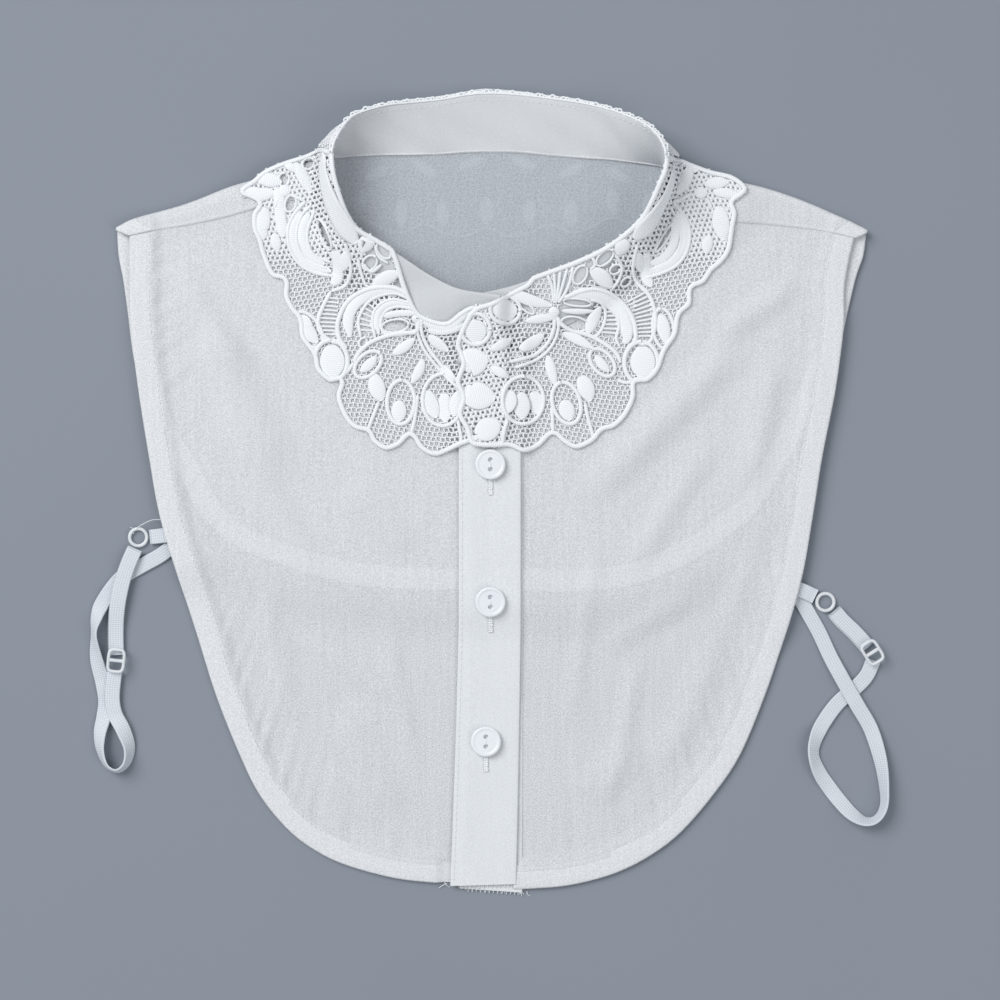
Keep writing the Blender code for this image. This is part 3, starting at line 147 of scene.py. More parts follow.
def is_inside(points, ring):
    """True where a ray to the right crosses the ring an odd number of times."""
    x0, y0 = ring[None, :, 0], ring[None, :, 1]
    x1, y1 = np.roll(ring[:, 0], -1)[None], np.roll(ring[:, 1], -1)[None]
    level = np.where(y1 == y0, 1.0, y1 - y0)
    inside = []
    for block in np.array_split(points, 1 + len(points) // 12000):
        x, y = block[:, 0, None], block[:, 1, None]
        crosses = ((y0 > y) != (y1 > y)) & (x < x0 + (y - y0) * (x1 - x0) / level)
        inside.append(crosses.sum(1) % 2 == 1)
    return np.concatenate(inside)


def smooth(share):
    """0 to 1 with level ends: 3s^2 - 2s^3, with s held between 0 and 1."""
    share = np.clip(share, 0, 1)
    return share * share * (3 - 2 * share)


def rise(points, ring, ramp):
    """1 inside a ring, falling smoothly to 0 at `ramp` outside it."""
    outside = np.where(is_inside(points, ring), 0.0, distance_to(points, ring, True))
    return smooth(1 - outside / ramp)


# %% [markdown]
# ## The cut of the collar
#
# These are the lines that the solids were made from: the free edges, the shoulder seams and folds,
# what lies under the fronts, and the neck. They are repeated here because a sheet of cloth has to
# end on the same edge as its solid.

# %% Edges, seams and folds, x y
LEFT_EDGE = spline([
    (-151, 108.6), (-151, 97.5), (-151, 80.5), (-150, 64), (-147, 40.5), (-143, 15.5), (-138.5, -9.5),
    (-131, -35), (-123, -60), (-115, -85.5), (-105, -110.5), (-96.5, -127.5), (-84, -142.5), (-71.5, -151.5),
    (-59, -157), (-40, -162), (-22, -164), (-11.4, -164.5)], 4.0)
RIGHT_EDGE = spline([
    (152.5, 107.6), (150, 97.5), (148, 85), (148, 72), (146.5, 57.5), (144, 40.5), (139, 15.5), (135, -9.5),
    (130.5, -35), (123.5, -60), (115, -85.5), (104.5, -110.5), (93, -127.5), (79.5, -143), (67, -152.5),
    (54.5, -159), (42, -163), (29, -165.5), (14.2, -166.5)], 4.0)
LEFT_SEAM = [
    (-151, 109), (-139, 111.5), (-126.5, 113.5), (-110, 117), (-97.5, 120.5), (-84, 123.5), (-73.4, 125.5)]
RIGHT_SEAM = [
    (152.5, 108), (138.5, 111), (122, 113), (111, 114), (102, 114.5), (88, 117), (75.8, 120.2)]
LEFT_FOLD = [
    (-156.5, 111), (-148.5, 114.8), (-128.5, 120.5), (-110, 127.5), (-94.5, 132), (-80, 137), (-72.6, 139.4)]
RIGHT_FOLD = [
    (157.5, 110), (149.5, 114), (132.5, 121.5), (116.5, 127), (100.5, 130.5), (88, 133), (77.6, 135.2)]
BACK_EDGE = spline([
    (-156.5, 111), (-156, 99.5), (-154, 89), (-152, 74.5), (-149.5, 55.5), (-144.5, 34.5), (-138, 19.5),
    (-131.5, 9), (-125.5, -2.5), (-118, -13), (-107.5, -22.5), (-94.5, -28), (-80, -33), (-61, -38),
    (-38, -40.5), (-14, -41), (13.5, -41), (29, -42), (46, -41), (63, -38), (79.5, -31.5), (94.5, -22.5),
    (102.5, -16), (110, -10.5), (118, 1.5), (126, 15.5), (132, 28), (139, 43), (146, 59.5), (149.5, 74.5),
    (153.5, 91), (156.5, 99.5), (157.5, 110)], 4.0)

# %% What the fronts and the back lie on, x y
UNDER_FRONTS = np.array([
    (-168, 127), (-166, 68), (-156.5, 30), (-149.5, -3.5), (-144, -25), (-135.5, -31), (-124, -27),
    (-114.5, -24), (-103, -29.5), (-84, -35.5), (-61, -41), (-38, -43.5), (-14, -44.5), (13.5, -44.5),
    (29, -45.5), (46, -44.5), (63, -41.5), (79.5, -35), (93, -28.5), (102.5, -29.5), (115.5, -41),
    (125, -52), (135, -50.5), (140.5, -28.5), (144.5, 5), (155, 38.5), (165.5, 68), (168, 127), (90, 180),
    (-90, 180)])
UNDER_BACK = np.array([
    (-80, 143.5), (-96, 136), (-106, 128), (-103, 116.5), (-90.5, 111), (-67.5, 106.5), (-38, 104), (0, 102),
    (37.5, 104), (67, 106), (88, 109), (102.5, 115), (107, 123.5), (96.5, 135.5), (84, 142.5), (71, 154),
    (50, 165.5), (0, 172.5), (-50.5, 163.5), (-67.5, 153)])
FRONTS_RAMP, BACK_RAMP = 20.0, 14.0

# %% Stand collar: seam x y, then top edge x y z, from the left front end round to the right one
COLLAR_STATIONS = [
    (4, 60.5, 4, 82, 10.6), (-12, 62.5, -12.5, 84.5, 9.6), (-25.5, 66, -24.5, 90, 8.8),
    (-38, 72, -36, 97.5, 9.2), (-49, 80, -46.5, 104, 11), (-58, 89, -55, 109, 13),
    (-65, 99.5, -59.5, 115.5, 16), (-69.5, 111, -62.5, 123.5, 19.5), (-71.5, 122, -64.5, 131, 21.5),
    (-71.8, 130.5, -65.2, 137.5, 22.5), (-71.4, 137.2, -64.8, 142.5, 22.3), (-69, 140.2, -63, 147, 20.5),
    (-63.5, 140.6, -60.5, 151.5, 17.5), (-56, 140.8, -56, 156.5, 13.5), (-44.5, 141, -44.5, 160.8, 9),
    (-32.5, 141, -33.5, 162.5, 6), (-20.5, 141.3, -21, 164, 4.4), (-10.5, 142, -10.5, 166, 3.6),
    (0, 142.2, -1, 166.8, 3.4), (11.5, 142, 11.5, 166.2, 3.6), (24.5, 140.8, 25, 164.5, 4.4),
    (37.5, 139.8, 38.5, 162.3, 6), (50.5, 139, 50.5, 159, 9), (60.5, 138, 60.5, 154.5, 13.5),
    (67.5, 137.4, 66.5, 150.3, 17.5), (73, 136.2, 70.8, 144.5, 20.5), (75.3, 132.5, 72.3, 138.5, 22.3),
    (75, 126, 71.8, 132.5, 22.5), (72.5, 119, 70, 128, 21.5), (69, 109.5, 67, 121, 19.5),
    (63.5, 98.5, 62.8, 113.5, 16), (56, 88, 55.5, 106.5, 13), (46.5, 79, 46.5, 100.5, 11),
    (35.5, 71.5, 35.5, 95.5, 9), (22.5, 65.5, 23, 91, 7.8), (9, 62, 9, 86, 7.2), (-7, 60.5, -6, 82.5, 7)]
COLLAR_COLUMNS = 420
RAILS = along(spline(COLLAR_STATIONS, 1.0), COLLAR_COLUMNS)
SEAM_PLAN, TOP_EDGE = RAILS[:, :2], RAILS[:, 2:]
print("neck seam, mm:", run_of(SEAM_PLAN)[-1].round(1))

# %% Heights: what lies under each piece, and soft creases that run through the fronts
CREASES = [
    # start_x, start_y, end_x, end_y, half width, height
    (-118, 68, -88, 8, 15, 2.6), (-60, 2, -34, -24, 11, 1.4), (102, 60, 42, 0, 12, 2.6),
    (122, 56, 108, 2, 13, 2), (100, -62, 74, -120, 15, 1.8), (-62, -92, -40, -132, 15, 1.4),
    (40, -128, 62, -108, 12, 1.2)]
CREASE_END = 0.35       # share of a crease over which each end dies out
CALM_EDGE, CALM_MIDDLE, CALM_RAMP = 15.0, 17.0, 14.0


def back_bed(points):
    """Underside of the back: one layer up where the lace lies under it."""
    return LAYER * rise(points, UNDER_BACK, BACK_RAMP)


def front_bed(points):
    """Underside of the fronts: two more layers up where the back lies under them."""
    return back_bed(points) + 2 * LAYER * rise(points, UNDER_FRONTS, FRONTS_RAMP)


def ridges(points, rows):
    """Highest of several soft ridges: height times a smooth fall across and at both ends of each."""
    height = np.zeros(len(points))
    for start_x, start_y, end_x, end_y, half_width, top in rows:
        span = np.array([end_x - start_x, end_y - start_y])
        offset = points - np.array([start_x, start_y])
        share = (offset @ span) / (span @ span)
        across = np.abs(offset[:, 0] * span[1] - offset[:, 1] * span[0]) / np.linalg.norm(span)
        ends = smooth((0.5 + CREASE_END / 3 - np.abs(share - 0.5)) / CREASE_END)
        height = np.maximum(height, top * smooth(1 - across / half_width) * ends)
    return height


def hem_rise(points, edge):
    """One layer over the turned hem, none past it; it dies out beside the placket on the left."""
    inward = distance_to(points, edge) - HEM
    fade = np.where(points[:, 0] < 0, smooth((PLACKET_LEFT - 5 - points[:, 0]) / 5), 1.0)
    return LAYER * smooth(1 - inward / HEM_RAMP) * fade


def front_middle(points, edge):
    """Height of the middle of a front: bed, hem, and creases that calm down towards every edge."""
    calm = smooth((distance_to(points, edge) - CALM_EDGE) / CALM_RAMP)
    calm = calm * smooth((np.abs(points[:, 0]) - CALM_MIDDLE) / CALM_RAMP)
    return front_bed(points) + hem_rise(points, edge) + ridges(points, CREASES) * calm + HALF_WALL


# %% Neck seam: low round the back, up over the shoulder folds, high at the front
SEAM_CLIMB = 2.5 * COLLAR_COLUMNS / 85
LAP, LAP_LENGTH, LAP_RAMP = 1.7, 18.0, 8.0
LEFT_NECK = int(np.argmin(np.linalg.norm(SEAM_PLAN - np.array(LEFT_FOLD[-1]), axis=1)))
RIGHT_NECK = int(np.argmin(np.linalg.norm(SEAM_PLAN - np.array(RIGHT_FOLD[-1]), axis=1)))


def seam_heights():
    """Back height blended into front height past each fold; the left end is lifted over the right."""
    low, high = back_bed(SEAM_PLAN) + HALF_WALL, front_bed(SEAM_PLAN) + HALF_WALL
    index = np.arange(COLLAR_COLUMNS)
    past_fold = np.where(index < COLLAR_COLUMNS / 2, LEFT_NECK - index, index - RIGHT_NECK)
    heights = low + (high - low) * smooth(past_fold / SEAM_CLIMB + 0.5)
    lap = smooth(1 - (np.linalg.norm(SEAM_PLAN - SEAM_PLAN[0], axis=1) - LAP_LENGTH) / LAP_RAMP)
    return heights + LAP * np.where(index < COLLAR_COLUMNS / 3, lap, 0)


SEAM_RAIL = np.column_stack([SEAM_PLAN, seam_heights()])
print("seam height, mm:", SEAM_RAIL[:, 2].min().round(2), "to", SEAM_RAIL[:, 2].max().round(2))

# %% [markdown]
# ## Meshes from arrays
#
# Each piece is a grid of points worked out with numpy, or many small grids joined. A grid becomes
# quads, and one function writes points, faces and a UV map in millimetres of cloth, so that a weave
# follows the piece wherever it bends.

# %% From grids to mesh objects
def grid_quads(rows, columns, wrap=False):
    """Corner numbers of each cell of a grid; a cell faces along (next row) x (next column)."""
    here = np.arange(rows * columns).reshape(rows, columns)
    if wrap:
        here = np.column_stack([here, here[:, 0]])
    return np.stack([here[:-1, :-1], here[1:, :-1], here[1:, 1:], here[:-1, 1:]], axis=2).reshape(-1, 4)


def add_object(name, data):
    """Object that shows the given data, linked to the scene."""
    thing = bpy.data.objects.new(name, data)
    bpy.context.scene.collection.objects.link(thing)
    return thing


def make_piece(name, points, quads, uv, materials, slots=None):
    """Mesh object from points in table millimetres, quads, and a UV for each point."""
    mesh = bpy.data.meshes.new(name)
    mesh.vertices.add(len(points))
    mesh.vertices.foreach_set("co", ((np.asarray(points) + SHIFT) * MM).ravel())
    quads = np.asarray(quads)
    mesh.loops.add(quads.size)
    mesh.loops.foreach_set("vertex_index", quads.ravel())
    mesh.polygons.add(len(quads))
    mesh.polygons.foreach_set("loop_start", np.arange(len(quads)) * 4)
    mesh.polygons.foreach_set("loop_total", np.full(len(quads), 4))
    mesh.polygons.foreach_set("use_smooth", np.ones(len(quads), bool))
    for material in materials:
        mesh.materials.append(material)
    if slots is not None:
        mesh.polygons.foreach_set("material_index", np.asarray(slots, np.int32))
    layer = mesh.uv_layers.new(name="cloth_mm")
    layer.data.foreach_set("uv", np.asarray(uv, float)[quads.ravel()].ravel())
    mesh.update(calc_edges=True)
    mesh.validate()
    piece = add_object(name, mesh)
    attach(piece, "root")
    print(name, "points:", len(points), "quads:", len(quads))
    return piece


def give_thickness(piece, thickness):
    """Turn a sheet into a closed shell by moving it half its thickness to each side."""
    wall = piece.modifiers.new("thickness", "SOLIDIFY")
    wall.thickness = thickness * MM
    wall.offset = 0.0
    wall.use_rim = True
    return piece


def join(parts):
    """One set of points, quads and UVs from several, with the quads' numbers moved on."""
    starts = np.cumsum([0] + [len(points) for points, _, _ in parts[:-1]])
    return (np.vstack([points for points, _, _ in parts]),
            np.vstack([quads + start for (_, quads, _), start in zip(parts, starts)]),
            np.vstack([uv for _, _, uv in parts]))


def cloth_uv(points, run):
    """UV in millimetres of cloth: the run along the rows, and the length across them, step by step."""
    steps = np.cumsum(np.linalg.norm(np.diff(points, axis=1), axis=2), axis=1)
    across = np.concatenate([np.zeros((len(points), 1)), steps], axis=1)
    return np.stack([np.repeat(run[:, None], points.shape[1], axis=1), across], axis=2)


# %% [markdown]
# ## Materials
#
# The cloth is polyester chiffon: a plain weave of tightly twisted yarn, sheer and grainy, with no
# gloss. The lace is guipure, dense cotton-look embroidery whose ground has been dissolved away. The
# buttons are cast polyester resin, the rings and sliders moulded nylon, and the straps knitted
# elastic. Colours are given as sRGB hex values.

# %% Colour and node helpers
def linear(code):
    """Linear colour from an sRGB hex value: the standard curve, channel by channel."""
    parts = [int(code[i:i + 2], 16) / 255 for i in (0, 2, 4)]
    return [part / 12.92 if part <= 0.04045 else ((part + 0.055) / 1.055) ** 2.4 for part in parts] + [1.0]


def add_node(tree, kind, links=None, **values):
    """A node with its settings: names of sockets in `links`, settings and socket values in `values`."""
    node = tree.nodes.new(kind)
    for key, value in values.items():
        if hasattr(node, key):
            setattr(node, key, value)
        else:
            node.inputs[key.replace("_", " ")].default_value = value
    for key, source in (links or {}).items():
        tree.links.new(source, node.inputs[key])
    return node


def new_material(name, colour, roughness, **sockets):
    """Principled material with constant values on its own sockets."""
    material = bpy.data.materials.new(name)
    material.use_nodes = True
    tree = material.node_tree
    shader = tree.nodes["Principled BSDF"]
    shader.inputs["Base Color"].default_value = linear(colour)
    shader.inputs["Roughness"].default_value = roughness
    for key, value in sockets.items():
        shader.inputs[key.replace("_", " ")].default_value = value
    return material, tree, shader


def blend_tints(tree, shader, factor, low, high):
    """Base colour mixed from two tints by a factor."""
    tint = add_node(tree, "ShaderNodeMix", {"Factor": factor}, data_type="RGBA")
    tint.inputs["A"].default_value = linear(low)
    tint.inputs["B"].default_value = linear(high)
    tree.links.new(tint.outputs["Result"], shader.inputs["Base Color"])


def add_bump(tree, shader, height, strength, depth):
    """Bump from a height whose whole range is `depth` millimetres."""
    bump = add_node(tree, "ShaderNodeBump", {"Height": height}, Strength=strength, Distance=depth * MM)
    tree.links.new(bump.outputs["Normal"], shader.inputs["Normal"])


def make_cloudy(name, colour, roughness, low, high, noise, **sockets):
    """Material whose colour drifts between two tints with a soft noise on object coordinates."""
    material, tree, shader = new_material(name, colour, roughness, **sockets)
    place = add_node(tree, "ShaderNodeTexCoord")
    cloud = add_node(tree, "ShaderNodeTexNoise", {"Vector": place.outputs["Object"]}, **noise)
    blend_tints(tree, shader, cloud.outputs["Fac"], low, high)
    return material


# %% Chiffon: sheer, grainy, matt
CREPE_GRAIN = 0.6       # mm; the real grain is 0.4 mm, drawn coarser so that it shows
SLUB_WIDTH, SLUB_LENGTH, SLUB_SHARE = 1.6, 26.0, 0.14       # mm, mm; faint uneven yarns
CREPE_SHADE = "8E96A2"  # the colour down between the yarns
ALPHA_SWING = 0.13      # the cover moves this much with the grain


def make_chiffon(name, colour, cover, grain_share):
    """Chiffon: noise at the grain's size moves brightness, alpha and bump a little together.

    A layer has two faces, so each face covers 1 - sqrt(1 - cover).
    """
    alpha = 1 - math.sqrt(1 - cover)
    material, tree, shader = new_material(name, colour, 0.85, Sheen_Weight=0.25, Sheen_Roughness=0.5,
                                          Specular_IOR_Level=0.2)
    place = add_node(tree, "ShaderNodeTexCoord")
    grain = add_node(tree, "ShaderNodeTexNoise", {"Vector": place.outputs["Object"]},
                     Scale=1 / (CREPE_GRAIN * MM), Detail=1.0, Roughness=0.6)
    slub_scale = add_node(tree, "ShaderNodeMapping", {"Vector": place.outputs["Object"]},
                          Scale=(1 / (SLUB_WIDTH * MM), 1 / (SLUB_LENGTH * MM), 1 / (SLUB_LENGTH * MM)))
    slub = add_node(tree, "ShaderNodeTexNoise", {"Vector": slub_scale.outputs["Vector"]},
                    Scale=1.0, Detail=1.0)
    both = add_node(tree, "ShaderNodeMix", {"A": grain.outputs["Fac"], "B": slub.outputs["Fac"]},
                    data_type="FLOAT")
    both.inputs["Factor"].default_value = SLUB_SHARE
    shade = add_node(tree, "ShaderNodeMapRange", {"Value": both.outputs["Result"]},
                     **{"From Min": 0.3, "From Max": 0.7, "To Min": 1 - grain_share, "To Max": 1.0})
    blend_tints(tree, shader, shade.outputs[0], CREPE_SHADE, colour)
    add_bump(tree, shader, grain.outputs["Fac"], 0.5, 0.25)
    if alpha < 1:
        sheer = add_node(tree, "ShaderNodeMapRange", {"Value": both.outputs["Result"]},
                         **{"From Min": 0.3, "From Max": 0.7, "To Min": alpha - ALPHA_SWING,
                            "To Max": alpha + ALPHA_SWING})
        tree.links.new(sheer.outputs[0], shader.inputs["Alpha"])
    return material


chiffon = make_chiffon("chiffon", "F8FAFC", 0.77, 0.15)
# The back is the same chiffon painted darker grey-blue: painted shade, for it lies in shadow under the
# fronts.
chiffon_back_painted_shade = make_chiffon("chiffon_back_painted_shade", "D0D5DB", 0.8, 0.14)
chiffon_hem = make_chiffon("chiffon_hem", "F1F3F5", 0.93, 0.12)
chiffon_doubled = make_chiffon("chiffon_doubled", "E3E6E8", 1.0, 0.22)
# The collar is the same chiffon painted darker grey: painted shade over its inner face, which lies in shadow.
chiffon_collar_painted_shade = make_chiffon("chiffon_collar_painted_shade", "CFD2D5", 1.0, 0.12)
print("chiffon materials ready")

# %% [markdown]
# ## Fronts
#
# Each front is one piece of chiffon with four sides: the neck, the shoulder seam, the placket and
# the long free edge. A Coons patch fills the four lines with a grid, which keeps every side exact.
# The hem is the same cloth turned under, so the grid goes on round a half circle and back inside.

# %% A patch between four lines, and a hem turned round its edge
TURN_STEPS = 6          # rows round the fold of a hem
RETURN_STEPS = 7        # rows of the cloth turned under


def coons(near, far, start, end):
    """Blend of near and far across v, plus that of start and end across u, less the four corners'."""
    u = np.linspace(0, 1, len(near))[:, None, None]
    v = np.linspace(0, 1, len(start))[None, :, None]
    corners = ((1 - u) * ((1 - v) * near[0] + v * far[0]) + u * ((1 - v) * near[-1] + v * far[-1]))
    return ((1 - v) * near[:, None] + v * far[:, None] + (1 - u) * start[None] + u * end[None] - corners)


def turn_hem(edge_rows, outward, inward_up, radius, flat_width):
    """Rows past an edge: half a circle of the given radius, then straight back by the hem's width.

    A point at angle a is edge + radius (outward sin a + inward_up (1 - cos a)).
    """
    angle = np.linspace(0, math.pi, TURN_STEPS + 1)[1:]
    radius = radius[:, None, None]
    arc = edge_rows[:, None] + radius * (outward[:, None] * np.sin(angle)[None, :, None]
                                         + inward_up[:, None] * (1 - np.cos(angle))[None, :, None])
    back = np.linspace(0, flat_width, RETURN_STEPS + 1)[1:][None, :, None]
    return np.concatenate([arc, arc[:, -1:] - outward[:, None] * back], axis=1)


def plan_outward(line, side):
    """Unit vectors in plan, square to a line, on its left (side 1) or its right (side -1)."""
    tangent = unit(np.gradient(line[:, :2], axis=0))
    return side * np.column_stack([-tangent[:, 1], tangent[:, 0], np.zeros(len(line))])


# %% Puckers: small uneven waves that a row of stitches draws along a hem
def puckers(run, inward, reach, height):
    """Three sines of unlike length added along the hem, fading over `reach` to the inside."""
    wave = (np.sin(run / 2.1 + 1.3 * np.sin(run / 17.0)) + np.sin(run / 3.7 + 0.8)
            + 0.8 * np.sin(run / 1.3 + 2.0))
    bunch = 0.35 + 0.65 * smooth(0.5 + 0.9 * np.sin(run / 31.0 + 0.7))
    return height * wave / 2.8 * bunch * np.exp(-np.maximum(inward, 0) / reach)

# %% Ripples of the fronts, and their neck edge
SOFT_RIPPLES = [
    # start_x, start_y, end_x, end_y, half width, height
    (-132, 92, -104, 52, 9, 1.1), (-112, 30, -70, -38, 10, 1), (-96, -40, -84, -96, 9, 0.9),
    (-78, -60, -40, -88, 8, 0.7), (-70, -118, -46, -146, 7, 0.8), (-44, -60, -32, -118, 7, 0.6),
    (130, 88, 96, 66, 9, 1.2), (92, 20, 60, -30, 9, 1), (118, -14, 100, -60, 9, 0.9),
    (84, -44, 46, -66, 8, 0.7), (62, -70, 50, -130, 7, 0.8), (44, -22, 34, -96, 7, 0.6)]
RIPPLE_GAIN = 1.5
FRONT_COLUMNS, FRONT_ROWS = 256, 108
FOLD_RADIUS = LAYER / 2     # of the half circle that a hem is turned on
STITCH_INSET, PRESS_DEPTH = 0.8, 0.16       # the hem's stitches, from its inner edge, and how deep they press
NECK_TUCK = 0.9         # the sheer cloth goes this far in under the collar's seam
STAND_TUCK = 9.5        # x where the right front ends, inside the button stand's edge


def front_neck(side):
    """The neck edge of a front: the collar's seam stepped under the collar, cut at placket and shoulder."""
    outward = side_step(SEAM_PLAN, -NECK_TUCK)
    line = outward[:LEFT_NECK][::-1] if side == "left" else outward[RIGHT_NECK + 1:]
    seam, stop = (LEFT_SEAM, -11.4) if side == "left" else (RIGHT_SEAM, STAND_TUCK)
    line = line[(np.abs(line[:, 0]) > abs(stop) + 2) & (line[:, 0] * stop > 0)
                & (line[:, 1] < seam[-1][1] - 2)]
    slope = (line[-2, 1] - line[-1, 1]) / (line[-2, 0] - line[-1, 0])
    corner = np.array([stop, line[-1, 1] + slope * (stop - line[-1, 0])])
    return np.vstack([seam[-1:], line, corner[None]])

# %% The two fronts
def front_height(flat, inward, run, edge):
    """Middle of a front: creases and ripples, puckers past the hem, and the stitches' pressed line."""
    calm = smooth((inward - CALM_EDGE) / CALM_RAMP) * smooth((np.abs(flat[:, 0]) - CALM_MIDDLE) / CALM_RAMP)
    height = front_middle(flat, edge) + ridges(flat, SOFT_RIPPLES) * calm * RIPPLE_GAIN
    low = smooth((-70 - flat[:, 1]) / 60)        # the curved bottom draws up more than the sides
    height += (np.maximum(puckers(run, inward - HEM, 11 + 7 * low, 0.6 + 0.7 * low), -0.3)
               * smooth((inward - HEM) / 3.0))
    return height - PRESS_DEPTH * np.exp(-((inward - HEM + STITCH_INSET) / 0.7) ** 2)


def front_hem(edge_row, free, turn):
    """Rows of a front's hem: round below the edge, then back in on what the front lies on."""
    under = front_bed(free) + HALF_WALL
    radius = np.maximum((edge_row[:, 2] - under) / 2, 0.16)
    hem = turn_hem(edge_row, plan_outward(free, -turn), -upward(len(free)), radius, HEM - FOLD_RADIUS)
    returned = hem[:, TURN_STEPS:]
    low = front_bed(returned.reshape(-1, 3)[:, :2]) + HALF_WALL
    hem[:, TURN_STEPS:, 2] = np.minimum(low.reshape(returned.shape[:2]), returned[:, :, 2] + 0.3)
    return hem


def make_front(name, side, edge, seam, nodes):
    """A front as a Coons patch from the neck to the free edge, with its hem turned under."""
    turn = 1 if side == "left" else -1
    neck = along(front_neck(side), FRONT_COLUMNS)
    free = side_step(edge, turn * FOLD_RADIUS)
    if side == "right":
        free = np.vstack([free, [[STAND_TUCK, free[-1, 1]]]])
    free = along(free, FRONT_COLUMNS)
    shoulder = along(np.vstack([spline(seam, 2.0)[::-1][:-1], free[:1]]), FRONT_ROWS)
    middle = along(np.vstack([neck[-1:], free[-1:]]), FRONT_ROWS)
    flat = coons(neck, free, shoulder, middle).reshape(-1, 2)
    inward = distance_to(flat, edge)
    height = front_height(flat, inward, np.repeat(run_of(free), FRONT_ROWS), edge)
    sheet = np.column_stack([flat, height]).reshape(FRONT_COLUMNS, FRONT_ROWS, 3)
    points = np.concatenate([sheet, front_hem(sheet[:, -1], free, turn)], axis=1)
    columns, rows = points.shape[:2]
    quads = grid_quads(columns, rows)
    if side == "right":
        quads = quads[:, ::-1]
    uv = cloth_uv(points, run_of(free))
    at_hem = (np.concatenate([inward.reshape(FRONT_COLUMNS, FRONT_ROWS),
                              np.zeros((columns, rows - FRONT_ROWS))], axis=1) < HEM)
    slots = at_hem[:-1, :-1].ravel().astype(int)
    piece = make_piece(name, points.reshape(-1, 3), quads, uv.reshape(-1, 2), [chiffon, chiffon_hem], slots)
    give_thickness(piece, CHIFFON)
    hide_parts(*nodes)
    return piece


front_left = make_front("front_left_cloth", "left", LEFT_EDGE, LEFT_SEAM, ("front_left", "facing_left"))
front_right = make_front("front_right_cloth", "right", RIGHT_EDGE, RIGHT_SEAM,
                         ("front_right", "facing_right"))

# %% [markdown]
# ## Back
#
# The back is one piece too. It lies flat behind, and at each shoulder it rolls over to the front as
# far as the shoulder seam. The grid therefore has extra columns that go round each fold on a circle.

# %% The back, with both shoulders rolled over
BACK_COLUMNS, BACK_ROWS = 250, 92
ROLL_STEPS, SEAM_STEPS = 10, 8
SEAM_LAP = 1.6          # the back's edge lies this far over the front at the shoulder seam
SEAM_THICK = 0.45       # and this much higher
BACK_RIPPLES = [
    # start_x, start_y, end_x, end_y, half width, height
    (-120, 60, -84, 10, 12, 1), (-60, 96, -40, 20, 11, 0.9), (0, 70, 14, -10, 12, 0.8),
    (52, 90, 66, 10, 11, 1), (124, 80, 92, 24, 12, 1), (-30, 130, 30, 116, 8, 0.5)]


def shoulder_columns(fold_points, seam_points, turn, edge, count):
    """Columns from the start of the roll round the fold to the seam: axis + (fold - axis) cos a."""
    fold = along(spline(fold_points, 1.0), count)
    seam = along(spline(seam_points, 1.0), count)
    axis = side_step(fold, turn * LAYER)
    low, high = back_bed(axis) + HALF_WALL, front_middle(axis, edge)
    radius = (high - low) / 2
    angle = np.linspace(-math.pi / 2, math.pi / 2, ROLL_STEPS + 1)
    plan = axis[None] + (fold - axis)[None] * np.cos(angle)[:, None, None]
    height = (high + low)[None] / 2 + radius[None] * np.sin(angle)[:, None]
    roll = np.concatenate([plan, height[..., None]], axis=2)
    share = np.linspace(0, 1, SEAM_STEPS + 1)[1:, None, None]
    over = axis[None] + (side_step(seam, turn * SEAM_LAP) - axis)[None] * share
    over_height = front_middle(over.reshape(-1, 2), edge).reshape(over.shape[:2])
    over_height = over_height + SEAM_THICK * smooth(share[..., 0] * 2.2)
    columns = np.concatenate([roll, np.concatenate([over, over_height[..., None]], axis=2)])
    inside = np.concatenate([angle, np.full(SEAM_STEPS, math.pi / 2)])
    to_axis = np.column_stack([axis - fold, np.zeros(count)]) / LAYER
    up = np.cos(inside)[:, None, None] * to_axis[None] - np.sin(inside)[:, None, None] * np.array([0, 0, 1.0])
    return columns[:, ::-1], up[:, ::-1], np.repeat(radius[None, ::-1], len(columns), axis=0)

# %% The back's hem, and the whole back
def back_hem(body, up, room, patch, patch_outward):
    """Rows of the back's hem, turned up over its edge; at the shoulders no rounder than they have room."""
    outward = body[:, -1] - body[:, -2]
    outward[patch] = patch_outward
    outward[:, 2] = 0
    return turn_hem(body[:, -1], unit(outward), up, np.minimum(FOLD_RADIUS, 0.42 * room), HEM - FOLD_RADIUS)


